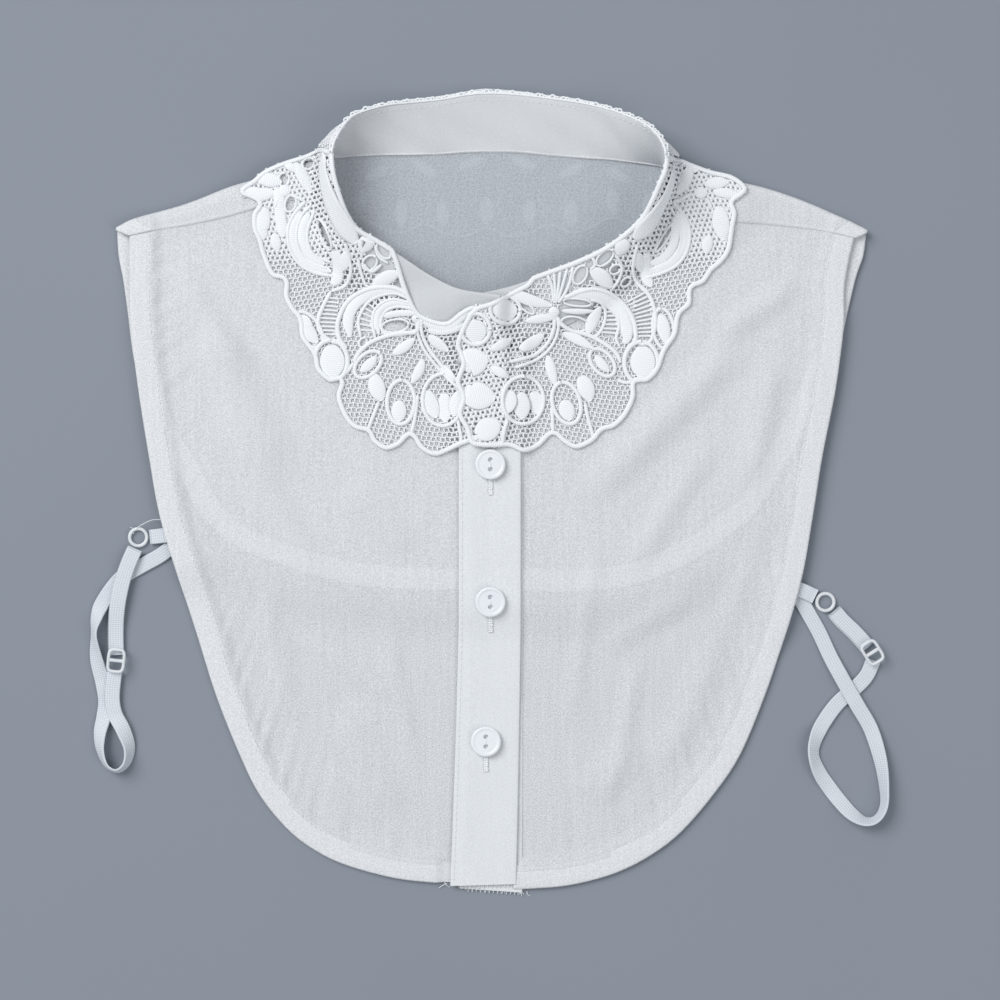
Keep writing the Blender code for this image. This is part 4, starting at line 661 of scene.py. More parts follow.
def make_back():
    """Neck line to free edge as a Coons patch, shoulder columns on both sides, hem turned up."""
    neck = side_step(SEAM_PLAN, NECK_TUCK)[LEFT_NECK + 2:RIGHT_NECK - 1]
    left, left_up, left_room = shoulder_columns(LEFT_FOLD, LEFT_SEAM, -1, LEFT_EDGE, BACK_ROWS)
    right, right_up, right_room = shoulder_columns(RIGHT_FOLD, RIGHT_SEAM, 1, RIGHT_EDGE, BACK_ROWS)
    start, end = left[0][:, :2], right[0][:, :2]
    near = along(np.vstack([start[:1], neck, end[:1]]), BACK_COLUMNS)
    free = side_step(BACK_EDGE, FOLD_RADIUS)[2:-2]
    far = along(np.vstack([start[-1:], free, end[-1:]]), BACK_COLUMNS)
    flat = coons(near, far, start, end).reshape(-1, 2)
    inward = distance_to(flat, BACK_EDGE)
    run = np.repeat(run_of(far), BACK_ROWS)
    calm = smooth((inward - 12) / 10.0) * smooth(distance_to(flat, np.vstack([start, end])) / 20)
    height = back_bed(flat) + HALF_WALL + ridges(flat, BACK_RIPPLES) * calm
    height += np.maximum(puckers(run, inward - HEM, 9.0, 0.35), -0.12) * smooth((inward - HEM) / 3)
    sheet = np.column_stack([flat, height]).reshape(BACK_COLUMNS, BACK_ROWS, 3)
    body = np.concatenate([left[:0:-1], sheet, right[1:]])
    up = np.concatenate([left_up[:0:-1], upward(BACK_COLUMNS, BACK_ROWS), right_up[1:]])[:, -1]
    room = np.concatenate([left_room[:0:-1, -1], np.full(BACK_COLUMNS, HEM), right_room[1:, -1]])
    first = len(left) - 1
    hem = back_hem(body, up, room, slice(first, first + BACK_COLUMNS), plan_outward(far, -1))
    points = np.concatenate([body, hem], axis=1)
    columns, rows = points.shape[:2]
    quads = grid_quads(columns, rows)[:, ::-1]
    uv = cloth_uv(points, run_of(body[:, BACK_ROWS // 2]))
    from_edge = uv[:, BACK_ROWS - 1, 1][:, None] - uv[..., 1]
    # Slot 0, with painted shade, covers the flat back under the fronts; the shoulders rolled over on top take
    # the plain chiffon.
    shoulder = np.ones(columns, int) * 2
    shoulder[first + 2:first + BACK_COLUMNS - 2] = 0
    slots = np.where(from_edge < HEM, 1, shoulder[:, None])[:-1, :-1].ravel()
    piece = make_piece("back_cloth", points.reshape(-1, 3), quads, uv.reshape(-1, 2),
                       [chiffon_back_painted_shade, chiffon_hem, chiffon], slots)
    give_thickness(piece, CHIFFON)
    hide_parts("back", "facing_back")
    return piece


back = make_back()

# %% [markdown]
# ## Strips with rounded edges
#
# The stand collar, the placket and the straps are doubled or knitted strips with a thickness that
# shows at their edges. Their section is a stadium: two straight sides joined by half circles. It is
# carried along two lines, one for each long edge, which also turns the strip where it twists.

# %% A stadium section carried between two rails
CAP_STEPS = 5


def closed_quads(rows, columns):
    """Quads of a grid wrapped round, outward, with both ends closed from one half ring to the other."""
    quads = [grid_quads(rows, columns, wrap=True)]
    half = columns // 2
    for row, flip in ((0, True), (rows - 1, False)):
        ring = row * columns + np.arange(columns)
        upper, lower = ring[:half], ring[::-1][:half]
        cap = np.stack([upper[:-1], upper[1:], lower[1:], lower[:-1]], axis=1)
        quads.append(cap[:, ::-1] if flip else cap)
    return np.vstack(quads)


def strip(rail_a, rail_b, thickness, side_steps, wave=None):
    """Closed strip: from rail a to rail b on one side, round, and back on the other.

    Rails lie at the very edges. `wave` gives how far the whole strip is moved for (run, share).
    """
    half = thickness / 2
    across = rail_b - rail_a
    width = np.linalg.norm(across, axis=1)[:, None]
    across = across / width
    tangent = np.gradient((rail_a + rail_b) / 2, axis=0)
    normal = unit(np.cross(tangent, across))
    share = np.linspace(0, 1, side_steps + 1)
    cap = np.linspace(0, math.pi, CAP_STEPS + 1)[1:-1]
    place = np.concatenate([share, 1 + 0 * cap, share[::-1], 0 * cap])
    reach = np.concatenate([0 * share, np.sin(cap), 0 * share, -np.sin(cap)])
    lift = np.concatenate([1 + 0 * share, np.cos(cap), -1 + 0 * share, -np.cos(cap)])
    inset_width = (width - 2 * half)[:, :, None]
    points = (rail_a[:, None] + across[:, None] * (half + inset_width * place[None, :, None]
                                                    + half * reach[None, :, None])
              + normal[:, None] * half * lift[None, :, None])
    run = run_of((rail_a + rail_b) / 2)
    if wave is not None:
        points += normal[:, None] * wave(run[:, None], place[None])[..., None]
    rows, columns = points.shape[:2]
    uv = np.stack(np.meshgrid(run, run_of(points[rows // 2]), indexing="ij"), axis=2)
    return points.reshape(-1, 3), closed_quads(rows, columns), uv.reshape(-1, 2)


# %% Stand collar
COLLAR_WALL, STRIP_STEPS = 1.2, 20
top_rail = TOP_EDGE + [0, 0, COLLAR_WALL / 2]
station = np.arange(COLLAR_COLUMNS)
half_way = (SEAM_PLAN[:, 0] + TOP_EDGE[:, 0]) / 2
bare = np.where(station < LEFT_NECK, smooth((half_way + 40) / 6),
                np.where(station > RIGHT_NECK, smooth((18 - half_way) / 6), 1.0))
# 1 where no front lace hides the collar, 0 where one does, averaged over 21 stations
BARE = np.convolve(np.pad(bare, 10, mode="edge"), np.full(21, 1 / 21), "valid")


def collar_pucker(run, share):
    """Folds that lean along the collar, finer ones between them; they die out at both edges."""
    folds = np.sin((run + 24 * share) / 4.4 + 1.8 * np.sin(run / 21))
    fine = np.sin((run + 15 * share) / 1.9 + 2.2 * np.sin(run / 12))
    broad = np.sin((run + 12 * share) / 8.0 + np.sin(run / 31))
    along_run = 0.3 + 0.7 * smooth(0.5 + np.sin(run / 29 + 1.1))
    return ((0.6 * folds * along_run + 0.1 * fine + 0.4 * broad) * np.sin(math.pi * share) ** 0.7
            * (0.25 + 0.75 * BARE[:, None]))


collar = make_piece("neck_band_cloth", *strip(SEAM_RAIL, top_rail, COLLAR_WALL, STRIP_STEPS, collar_pucker),
                    [chiffon_collar_painted_shade])
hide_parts("neck_band")

# %% Placket and button stand
PLACKET_STEPS, PLACKET_WALL = 260, 1.0
# for the left and the right edge: x, y of its bottom end, and how far it has drifted sideways there
PLACKET_EDGES = [(-13.3, -165.2, -3.6), (12.8, -164.4, -2.0)]
STAND_EDGES = [(-10.8, -166.4, -2.2), (13.6, -168.2, -0.2)]


def straight_rails(edges, layer):
    """The two long edges of a placket, on the fronts and as many layers up as it lies."""
    rails = []
    for x, bottom, shift in edges:
        y = np.linspace(PLACKET_TOP, bottom, PLACKET_STEPS)
        plan = np.column_stack([x + shift * np.clip((-50 - y) / 115, 0, 1) ** 1.3, y])
        rails.append(np.column_stack([plan, front_bed(plan) + layer * LAYER + HALF_WALL]))
    return rails


def placket_swell(run, share):
    """A ridge beside the stitches on the left, and a free right edge that stands up unevenly."""
    return (0.30 * smooth((share - 0.09) / 0.04) * smooth((0.55 - share) / 0.4)
            + 0.14 * (1 + np.sin(run / 11 + 2 * share) + 0.4 * np.sin(run / 3.1)) * share ** 2)


top_left, top_right = straight_rails(PLACKET_EDGES, 1)
placket = make_piece("placket_cloth", *strip(top_left, top_right, PLACKET_WALL, STRIP_STEPS, placket_swell),
                     [chiffon_doubled])
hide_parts("placket_top")
stand = make_piece("button_stand_cloth", *strip(*straight_rails(STAND_EDGES, 0), PLACKET_WALL, 12),
                   [chiffon_doubled])
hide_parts("placket_under")

# %% [markdown]
# ## What the lace hangs over
#
# The front laces hang over the fronts, the placket and the collar's wall. Their height comes from a
# grid of heights in plan, one value a millimetre, slightly blurred so that the lace spans small
# steps. A cloth simulation could find it too, but the grid gives the same lines as the solids.

# %% A height for every place in plan
class Drape:
    """Top of fronts, placket and collar wall on a 1 mm grid, blurred, and read bilinearly."""
    LOW, HIGH, CELL = np.array([-125.0, -5.0]), np.array([125.0, 185.0]), 1.0
    LEVEL_REACH = 5.0       # mm that the collar's top is carried on, level, towards the neck
    BLUR, BLUR_REACH = 1.3, 4

    def __init__(self):
        """The higher of cloth and collar at each place of the grid, widened by one cell and blurred."""
        grid_x, grid_y = np.meshgrid(np.arange(self.LOW[0], self.HIGH[0] + 0.5, self.CELL),
                                     np.arange(self.LOW[1], self.HIGH[1], self.CELL))
        height = self.cloth(np.column_stack([grid_x.ravel(), grid_y.ravel()])).reshape(grid_x.shape)
        wall = self.collar()
        column, row = np.round((wall[:, :2] - self.LOW) / self.CELL).astype(int).T
        np.maximum.at(height, (row, column), wall[:, 2])
        wide = np.pad(height, 1, mode="edge")
        rows, columns = height.shape
        height = np.max([wide[i:i + rows, j:j + columns] for i in range(3) for j in range(3)], axis=0)
        self.height = self.blur(height)

    def cloth(self, points):
        """Top of the fronts, the shoulder seams and the placket; behind the folds, the table's level."""
        height = np.where(points[:, 0] < 0, front_middle(points, LEFT_EDGE),
                          front_middle(points, RIGHT_EDGE)) + CHIFFON / 2
        for fold, seam in ((LEFT_FOLD, LEFT_SEAM), (RIGHT_FOLD, RIGHT_SEAM)):
            over = np.vstack([spline(fold, 3.0), spline(seam, 3.0)[::-1]])
            height += SEAM_THICK * rise(points, over, 3.0)
        placket_area = np.array([(PLACKET_LEFT, PLACKET_TOP + 11), (PLACKET_RIGHT, PLACKET_TOP + 11),
                                 (PLACKET_RIGHT, -10.0), (PLACKET_LEFT, -10.0)])
        height = height + (LAYER + 0.6) * rise(points, placket_area, 4.0)
        folds = np.vstack([spline(LEFT_FOLD, 3.0), spline(RIGHT_FOLD, 3.0)[::-1]])
        behind = np.vstack([[(-170.0, 250.0)], folds, [(170.0, 250.0)]])
        beyond = np.where(is_inside(points, behind), distance_to(points, folds), 0.0)
        return height + (0.9 - height) * smooth((beyond - 1) / 3)

    def collar(self):
        """Points all over the collar's wall, its outer side, and its top edge carried on, level."""
        rails = along(np.column_stack([SEAM_RAIL, TOP_EDGE]), 900)
        shares = np.linspace(0, 1, 60)[:, None, None]
        wall = rails[None, :, :3] + (rails[None, :, 3:] - rails[None, :, :3]) * shares
        out = np.cross(rails[:, 3:] - rails[:, :3], np.gradient(rails[:, :3], axis=0))
        out *= (COLLAR_WALL / 2 + 0.1) / np.linalg.norm(out, axis=1)[:, None]
        level = [side_step(rails[:, 3:], -reach) + [0, 0, COLLAR_WALL / 2]
                 for reach in np.arange(0, self.LEVEL_REACH, 0.4)]
        return np.concatenate([wall, wall + out, level]).reshape(-1, 3)

    def blur(self, height):
        """Gaussian blur, along the rows and then along the columns."""
        reach = np.arange(-self.BLUR_REACH, self.BLUR_REACH + 1)
        kernel = np.exp(-reach ** 2 / (2 * self.BLUR ** 2))
        padded = np.pad(height, self.BLUR_REACH, mode="edge")
        for axis in (0, 1):
            padded = np.apply_along_axis(lambda line: np.convolve(line, kernel / kernel.sum(), "valid"),
                                         axis, padded)
        return padded

    def at(self, points):
        """Height at each point: the four nearest grid values weighted by closeness."""
        place = (points - self.LOW) / self.CELL
        column = np.clip(np.floor(place[:, 0]).astype(int), 0, self.height.shape[1] - 2)
        row = np.clip(np.floor(place[:, 1]).astype(int), 0, self.height.shape[0] - 2)
        u, v = place[:, 0] - column, place[:, 1] - row
        h = self.height
        return ((1 - u) * (1 - v) * h[row, column] + u * (1 - v) * h[row, column + 1]
                + (1 - u) * v * h[row + 1, column] + u * v * h[row + 1, column + 1])


drape = Drape()
print("drape, mm:", drape.height.min().round(2), "to", drape.height.max().round(2))

# %% [markdown]
# ## Guipure lace
#
# Guipure is embroidered on a ground that is dissolved away, so it is thread through and through: a
# net of bars, cords that edge every motif, and satin-stitched petals and leaves that stand up. A
# texture with holes would look flat from the side. Here each bar, cord and petal is a small closed
# sweep of an ellipse, laid out in plan and lifted on to what the lace hangs over.

# %% Outlines of the three laces, x y
LEFT_LACE_OUTER = [
    (-65.2, 140.5), (-71, 143), (-78.5, 140.5), (-86.5, 138), (-94.5, 134.5), (-99.5, 130.5), (-104, 127.5),
    (-104.5, 124.5), (-100, 122.5), (-97, 120.5), (-99.5, 116.5), (-99.5, 110), (-97.5, 105.5), (-96, 99.5),
    (-92, 90.5), (-86.5, 88.5), (-86.5, 82), (-84, 76.5), (-80.5, 72), (-79.5, 64.5), (-74.5, 57.5),
    (-73, 51), (-67.5, 46), (-62.8, 46.5), (-64.5, 40), (-61.5, 31.5), (-57, 26.5), (-51.5, 25), (-49.5, 21),
    (-44, 17.5), (-38, 19.5), (-33.5, 23.5), (-29.5, 18), (-23.5, 15), (-17, 17), (-12, 19.5), (-4.5, 22),
    (2, 26)]
LEFT_LACE_INNER = [
    (2, 68), (-1, 76), (-4, 77.5), (-8.5, 77.5), (-13, 75), (-17.5, 71.5), (-21, 71.5), (-26, 73),
    (-30, 75.5), (-33.5, 82), (-36, 89), (-38, 96)]
RIGHT_LACE_OUTER = [
    (72.2, 138.5), (78.5, 139.5), (85, 137), (92, 134.5), (100.5, 132.5), (105.5, 129.5), (107.5, 126.5),
    (105, 123.5), (101.5, 121), (103, 117), (102, 111), (100.5, 101.5), (97, 96), (93, 92.5), (89.5, 87.5),
    (84.5, 85), (84, 78.5), (79.5, 74), (78, 66), (73.5, 59), (70.5, 51), (65.5, 46), (60.8, 46),
    (60.5, 39.5), (57, 32), (52, 27), (47, 25.5), (43, 21), (36, 18), (30.5, 20.5), (26, 24), (20.5, 19),
    (14, 16.5), (8, 18.8), (2.5, 18.6), (-3, 18.7), (-8.5, 20), (-10.5, 26), (-13.8, 32.5), (-12.2, 39.5),
    (-14.6, 46), (-12.2, 54), (-14.5, 61.5), (-12, 69)]
RIGHT_LACE_INNER = [
    (-9, 74.5), (-5.5, 77.5), (1, 79.5), (8, 83.5), (15, 87)]
BACK_LACE_FOLD = [
    (-72.5, 144.8), (-69.5, 148), (-65.8, 151.8), (-59, 156.6), (-52, 160), (-36.5, 164.2), (-21, 166),
    (-8.5, 168.2), (-1.5, 169), (11.5, 168), (23, 166.5), (35.5, 165), (47, 162.5), (56.5, 158.5),
    (65, 153.8), (71.5, 148.8), (77, 143.5), (79.5, 140.5)]
BACK_LACE_SCALLOPS = [
    (79.5, 140.5), (93, 131.5), (99, 126.5), (94.5, 121.5), (85.5, 119), (76, 120), (69, 115), (60.5, 111.5),
    (51.5, 114.5), (43.5, 110.5), (34, 108), (24.5, 111.5), (16.5, 108), (7.5, 106.5), (-1.5, 110),
    (-10.5, 106.5), (-20, 108), (-28, 111.5), (-37.5, 108), (-47, 110.5), (-55, 114.5), (-63.5, 111.5),
    (-72.5, 115), (-79.5, 120), (-89, 119), (-97, 122.5), (-99.5, 127), (-90, 133), (-80, 139.5),
    (-72.5, 144.8)]

# %% Openings, petals, cords and satin bands of the left lace, x y
LEFT_LACE = {}
LEFT_LACE["openings"] = [  # x, y, length, width, turn in degrees
    (-50.2, 95.6, 6.2, 5, 45), (-44.4, 100.6, 7, 4.2, 128), (-83.6, 120.6, 6.6, 4.2, 75),
    (-75.8, 137.2, 5.2, 4.2, 20), (-86.4, 130.6, 5.2, 4.2, 80), (-69, 107.6, 12.6, 3, 112),
    (-39.8, 69.6, 10.5, 5, 8), (-53.4, 62.6, 4, 2.8, 60)]
LEFT_LACE["solid"] = [  # x, y, length, width, turn, rise
    (-66.8, 54.9, 14.5, 11, 92, 0.7), (-47, 44, 12.4, 7.4, 106, 1.1), (-36.4, 61, 11.6, 4.6, 36, 1.2),
    (-21.8, 62.4, 11.4, 4.8, 143, 1.2), (-17.2, 49.8, 9.6, 4.4, 132, 1.1), (-30.6, 50.6, 11.4, 4.4, 64, 1.2),
    (-76.2, 68.2, 14, 6.4, 124, 0.8), (-92.6, 130, 11, 6.2, 172, 1), (-96.8, 124.9, 14, 6, 4, 1),
    (-78.6, 131.2, 15, 5.4, 118, 1.2), (-51.8, 104.8, 10.6, 7.6, 70, 1.1), (-43.6, 88.6, 13, 6, 27, 1.1),
    (-29.8, 74.2, 5, 4.6, 60, 1.3), (-86.2, 126.2, 5.6, 5.2, 0, 1.2), (-83.2, 136, 8, 3.6, 150, 0.9),
    (-60.8, 96.6, 9, 5.4, 70, 0.9), (-95.2, 112.4, 15, 7.4, 80, 0.8), (-24.4, 37, 12.6, 6.6, 108, 0.2),
    (-19, 35.4, 13, 6.6, 92, 0.2), (-13.8, 37, 11.6, 6.2, 76, 0.2), (-51.2, 53.6, 9.4, 4.4, 44, 0.8),
    (-38, 34, 9.4, 6.6, 88, 0.6), (-89.6, 104.6, 8, 4.6, 100, 0.7)]
LEFT_LACE["rings"] = [  # x, y, length, width, turn, half width of the ring
    (-51.3, 53.4, 13.6, 8.6, 44, 0.85), (-37.5, 37.6, 18.6, 11.6, 88, 0.9), (-66.8, 54.9, 17.4, 14, 92, 1),
    (-76.2, 68, 17, 9.4, 124, 0.8), (-19.8, 38.6, 22, 17.4, 88, 0.85)]
LEFT_LACE["cords"] = [  # half width, then the points x, y
    (0.95, [(-57.2, 54.2), (-55.3, 58), (-50.5, 62.4), (-43.8, 65.2), (-36.1, 66.7), (-30.8, 67.4),
        (-29.8, 73)]),
    (0.8, [(-28.8, 73), (-28.8, 67.6), (-26.4, 61), (-21.6, 54.4), (-16, 48.6), (-9.6, 43)]),
    (0.7, [(-30.6, 72.6), (-30.6, 67.6), (-28.2, 60.4), (-23.4, 53.6), (-17.8, 47.6), (-11.6, 42)]),
    (0.9, [(-66.8, 84), (-70.1, 77.7), (-72.1, 72), (-71.4, 67.2), (-67.7, 63.8), (-63.9, 62.4),
        (-60.6, 61.4)]),
    (1, [(-34.1, 81.6), (-38.9, 84.9), (-47.6, 85.6), (-55.3, 83.2), (-60.5, 78.9), (-63.4, 72.9),
        (-64.1, 68.1), (-62.9, 63.3), (-60.1, 60.4)]),
    (0.7, [(-33.6, 80.6), (-39.9, 83), (-46.6, 82), (-51.4, 79.2), (-54.3, 74.8), (-55.3, 71),
        (-54.3, 64.6)]),
    (0.7, [(-32.4, 78.7), (-39.9, 80.6), (-45.2, 79.2), (-48.5, 75.8), (-49.5, 71), (-48.2, 64.6)]),
    (0.7, [(-31.2, 76.3), (-38, 77.6), (-42.8, 76.5), (-45.4, 73.4), (-45.9, 70), (-44.2, 66.4), (-38, 65.8),
        (-31.7, 67.6)]),
    (0.8, [(-77.4, 121.5), (-82.2, 116.1), (-84.8, 109.4), (-83.8, 101.7), (-80, 95.6), (-73.5, 91.8),
        (-65.4, 90.4)]),
    (0.7, [(-74.5, 120.4), (-79.3, 115.2), (-81.2, 107.5), (-79.8, 100.8), (-75.4, 95.8), (-67.4, 93.6)]),
    (0.7, [(-72.5, 118.4), (-75.9, 111.8), (-76.6, 105.6), (-74, 99.4), (-66.7, 96.2)]),
    (0.7, [(-55.3, 98.2), (-53.8, 91.6), (-51.6, 86.2), (-47.4, 85.8)]),
    (0.55, [(-42.2, 103), (-38.8, 97.4), (-36, 90.2), (-33.8, 83.2), (-30.2, 75.8)]),
    (0.7, [(-48, 103), (-46.4, 98), (-42.6, 95.4)]), (0.7, [(-53.2, 95.6), (-49.6, 92), (-45.2, 95)]),
    (0.8, [(-60.4, 104.4), (-58.8, 98), (-58.2, 91.6), (-60.8, 86.4), (-66.8, 84)]),
    (0.8, [(-84, 124.6), (-79.2, 122.4), (-77.4, 121.5)]),
    (0.7, [(-88, 124), (-89.6, 120.6), (-90.4, 118.4)]), (0.8, [(-64, 46.8), (-60, 50.4), (-57.2, 54.2)]),
    (0.8, [(-46.6, 38), (-49.4, 31), (-51.5, 25.4)]), (0.8, [(-30.4, 41), (-31.8, 30), (-33.4, 23.8)]),
    (0.8, [(-13.6, 30.6), (-12.6, 24.8), (-12, 19.8)])]
LEFT_LACE["bands"] = [  # half width in the middle, rise, then the points x, y
    (2.5, 0.9, [(-35.2, 83), (-40, 84.2), (-47.2, 84), (-53.6, 81.2), (-57.8, 77), (-59.6, 71.6),
        (-58.8, 64.8)]),
    (1.5, 0.9, [(-32.6, 78), (-39.2, 79.2), (-44.2, 77.8), (-47.2, 74.4), (-47.8, 70.4), (-46.6, 66.4)]),
    (1.5, 1, [(-45.2, 73.6), (-38.4, 74.8), (-31.4, 74.8)]),
    (4.6, 1, [(-67.8, 142), (-69, 134.6), (-67.6, 126.4), (-64.4, 117.4), (-60, 109.6), (-55.6, 103.6)]),
    (2.6, 0.9, [(-88.6, 127.6), (-88.2, 120.6), (-87.6, 113.6), (-86.8, 106.6)]),
    (2, 0.9, [(-79.4, 117.6), (-82.6, 110.6), (-82.2, 103.6), (-78.4, 97.4), (-72.6, 94), (-66.6, 92.4)]),
    (2, 0.9, [(-75.8, 117), (-78.6, 110.6), (-78.4, 104.4), (-75, 98.6), (-69.4, 95.4)]),
    (2.6, 0.9, [(-64.8, 101.6), (-63.8, 96.4), (-63.8, 90.4), (-66, 86.6)]),
    (2.3, 1, [(-28.2, 72.4), (-21.8, 71), (-15.9, 72.6), (-10.6, 75.6), (-4.4, 76.6)]),
    (1.7, 0.8, [(-26.6, 67.8), (-19.6, 67.2), (-13.2, 68.6), (-10.8, 70.6)])]
LEFT_LACE["ladders"] = [  # count of bars, half width, the two lines that the bars join
    (10, 0.5, [(-63.6, 82.6), (-64.2, 76), (-65, 70), (-63.6, 64.2)], [(-67.6, 83), (-70.1, 77.7),
        (-71.6, 71), (-68.6, 64.6)]),
    (10, 0.5, [(-39.9, 83), (-46.6, 82), (-51.4, 79.2), (-54.3, 74.8), (-55.3, 71), (-54.3, 65.6)],
        [(-39.9, 80.6), (-45.2, 79.2), (-48.5, 75.8), (-49.5, 71), (-48.4, 65.6)])]
LEFT_LACE["no_net"] = [  # x, y, length, width, turn
    (-67.6, 73.4, 20, 7, 84), (-51.9, 73.4, 17, 4.6, 78), (-46, 97, 18, 9, 128), (-36.5, 84, 12, 6, 100)]

# %% The right lace is worked as a pair to it, but its free end has petals of its own, x y
RIGHT_LACE = {}
RIGHT_LACE["openings"] = [
    (47.6, 97.6, 8, 4.2, 42), (52, 93, 4.8, 3.2, 30), (37.4, 90.6, 7.6, 4.8, 60), (14.8, 77.4, 8, 2.8, 140),
    (36.2, 79.3, 11, 2.8, 175), (35.4, 70.4, 11, 5.4, 170), (73, 106.6, 13.6, 2.4, 57),
    (56.4, 88, 4.6, 2.8, 40), (81, 135.6, 2.8, 2.2, 60)]
RIGHT_LACE["solid"] = [
    (63.1, 54.2, 14.5, 11, 88, 0.7), (25.6, 51, 13.4, 4.6, 104, 1.1), (39.6, 43.4, 12, 7.4, 112, 1.1),
    (17.1, 62.9, 12.6, 5.4, 32, 1.1), (36.2, 63.4, 15, 4.4, 154, 1), (45.9, 89.4, 12, 6.8, 140, 1.1),
    (54.8, 102, 7.4, 6.4, 60, 1.3), (15.6, 81.6, 22, 5.2, 160, 1), (20.6, 72.2, 13, 4, 8, 1),
    (43.4, 71.8, 13, 5.2, 65, 1.1), (36.4, 75.9, 14.5, 2.6, 0, 0.9), (72.4, 68.6, 13, 5.8, 100, 0.8),
    (7.4, 37.6, 10.6, 7.4, 76, 0.2), (13.4, 36.2, 11.6, 7.4, 90, 0.2), (19.6, 37.4, 10.6, 7.4, 104, 0.2),
    (46.8, 54, 9, 4.2, 130, 0.8), (32.4, 34.4, 9.4, 7, 104, 0.6), (26.8, 75.2, 5, 4.8, 90, 1.3),
    (94.4, 129, 10.4, 5.2, 6, 1), (98.6, 124.8, 12, 4.4, 174, 1), (80.8, 130.6, 15, 5.4, 62, 1.2),
    (88, 125.4, 5.6, 5.2, 0, 1.2), (84.6, 134.6, 8, 3.6, 30, 0.9), (96.6, 112.6, 15, 7.4, 98, 0.8),
    (62.6, 96, 9, 5.4, 110, 0.9), (91, 103.6, 8, 4.8, 80, 0.7), (-7.8, 54.2, 14, 12.4, 12, 1),
    (-5, 40.6, 14.4, 12, 168, 1), (-1.6, 26.6, 12, 10, 30, 0.9), (-8.6, 23, 9, 6, 10, 0.7),
    (-5.6, 67.2, 10, 9.4, 90, 0.3), (6, 76.4, 10.4, 9.4, 0, 0.5), (4.2, 61.6, 10, 4.2, 28, 1),
    (3.6, 50, 9, 4.2, 150, 1)]
RIGHT_LACE["rings"] = [
    (46.8, 54.2, 13.4, 8.4, 130, 0.85), (31.8, 37.2, 18, 11.6, 106, 0.9), (63.1, 54.2, 17.6, 14.2, 90, 1),
    (72.4, 68.4, 17, 8.8, 98, 0.8), (6.2, 76, 12.6, 11.6, 0, 0.85), (13.6, 38.4, 20, 17.4, 88, 0.85),
    (-6.2, 68, 12.4, 12.8, 0, 0.9)]
RIGHT_LACE["cords"] = [
    (1, [(30.5, 81), (37, 83.6), (43.4, 84.8), (49.6, 83.2), (54.6, 79.6), (58.6, 74.6), (60.6, 68.6),
        (60.4, 63), (57, 60.2)]),
    (0.7, [(46.6, 81.8), (50.4, 78.6), (53, 74.4), (53.8, 69.6), (52.6, 64.2), (54.2, 60.8)]),
    (0.7, [(41, 80.4), (45.6, 79.6), (48, 76), (47.6, 70.6), (44.6, 65.6), (40, 65.4)]),
    (0.9, [(62.6, 86.2), (66.6, 82), (68.8, 75.6), (68.8, 69), (66.8, 63), (62, 61.8)]),
    (0.95, [(27.4, 73.8), (29.6, 70.4), (34, 67.6), (40.6, 65.8), (47, 62.6), (52.2, 58.6), (54.6, 54.2)]),
    (0.8, [(26.8, 73), (26.4, 68), (23.6, 62), (18, 57.2), (7.6, 54.2)]),
    (0.7, [(28.2, 72.6), (28.2, 67.4), (25.4, 60.8), (19.6, 55.6), (10, 51.8)]),
    (0.8, [(25.6, 36), (26, 30), (26.2, 24.4)]), (0.8, [(39.6, 37.6), (40.6, 32), (43.4, 21.8)]),
    (0.8, [(52.6, 47.2), (56.4, 45.8), (60.2, 46.4)]), (0.8, [(7.2, 30.4), (5.6, 24.8), (5, 19.4)]),
    (0.65, [(23.6, 91), (25.6, 86), (26.4, 79)]), (0.65, [(26.4, 91.8), (26.9, 86), (27, 79)]),
    (0.65, [(29.2, 92.4), (28.4, 86), (27.5, 79)]), (0.65, [(32.2, 93.6), (30.2, 86.6), (28, 79.4)]),
    (0.7, [(34.4, 94.4), (33.4, 88.6), (31.4, 83.6), (28.4, 79)]),
    (0.7, [(42, 98.6), (43.6, 94.8), (41.4, 92.6)]),
    (0.7, [(51.6, 99.4), (54.6, 94), (53.4, 88.8), (50.6, 84.8)]),
    (0.8, [(75.6, 121.5), (80.4, 116.1), (83.2, 109.4), (82.4, 101.7), (78.6, 95.6), (72, 91.8), (64, 89.4)]),
    (0.7, [(74.4, 119.4), (78.6, 113.2), (79.8, 106.5), (78.2, 100.2), (73.8, 95.4), (66, 92.6)]),
    (0.8, [(61, 103.4), (59.6, 97), (59.4, 91.6), (62, 86.8), (66, 84)]),
    (0.8, [(84, 124.6), (79.2, 122.4), (75.6, 121.5)]), (0.7, [(90, 123), (91.6, 120.6), (92.4, 118.4)])]
RIGHT_LACE["bands"] = [
    (2.9, 0.9, [(33, 82.2), (40, 82.8), (47.6, 80.8), (53.4, 76.2), (56.6, 70.2), (57.2, 64.6), (55.8, 62)]),
    (4.4, 1, [(75.6, 136.4), (75.2, 131), (73.2, 124.4), (69.6, 117.4), (65, 110.8), (59.6, 105.2)]),
    (2, 0.9, [(78, 117.6), (81, 110.6), (80.8, 103.6), (77, 97.4), (71.2, 94), (65.4, 91.6)]),
    (2, 0.9, [(76.6, 115), (77.4, 108.6), (76, 102.4), (72, 97.6), (66.6, 95.4)]),
    (2.4, 0.9, [(65.4, 100.6), (65, 96.4), (65, 90.4), (67.4, 86)])]
RIGHT_LACE["ladders"] = [
    (7, 0.5, [(46.8, 79), (47.8, 73.6), (46.6, 69), (44.4, 65.6)], [(50, 78.6), (53.2, 73.4), (53.6, 68.6),
        (52.4, 64.6)]),
    (11, 0.5, [(55.8, 80.4), (59.6, 75.6), (60.8, 69.4), (60.6, 63.8)], [(63.4, 85), (68.4, 77),
        (68.6, 69.4), (65.8, 63.6)])]
RIGHT_LACE["no_net"] = [
    (64.2, 73.6, 22, 7, 96), (49.8, 71.6, 16, 5.4, 97), (44.6, 94.6, 18, 8.6, 40), (36.4, 74.6, 17, 12, 0),
    (29.4, 86, 12, 7, 80)]

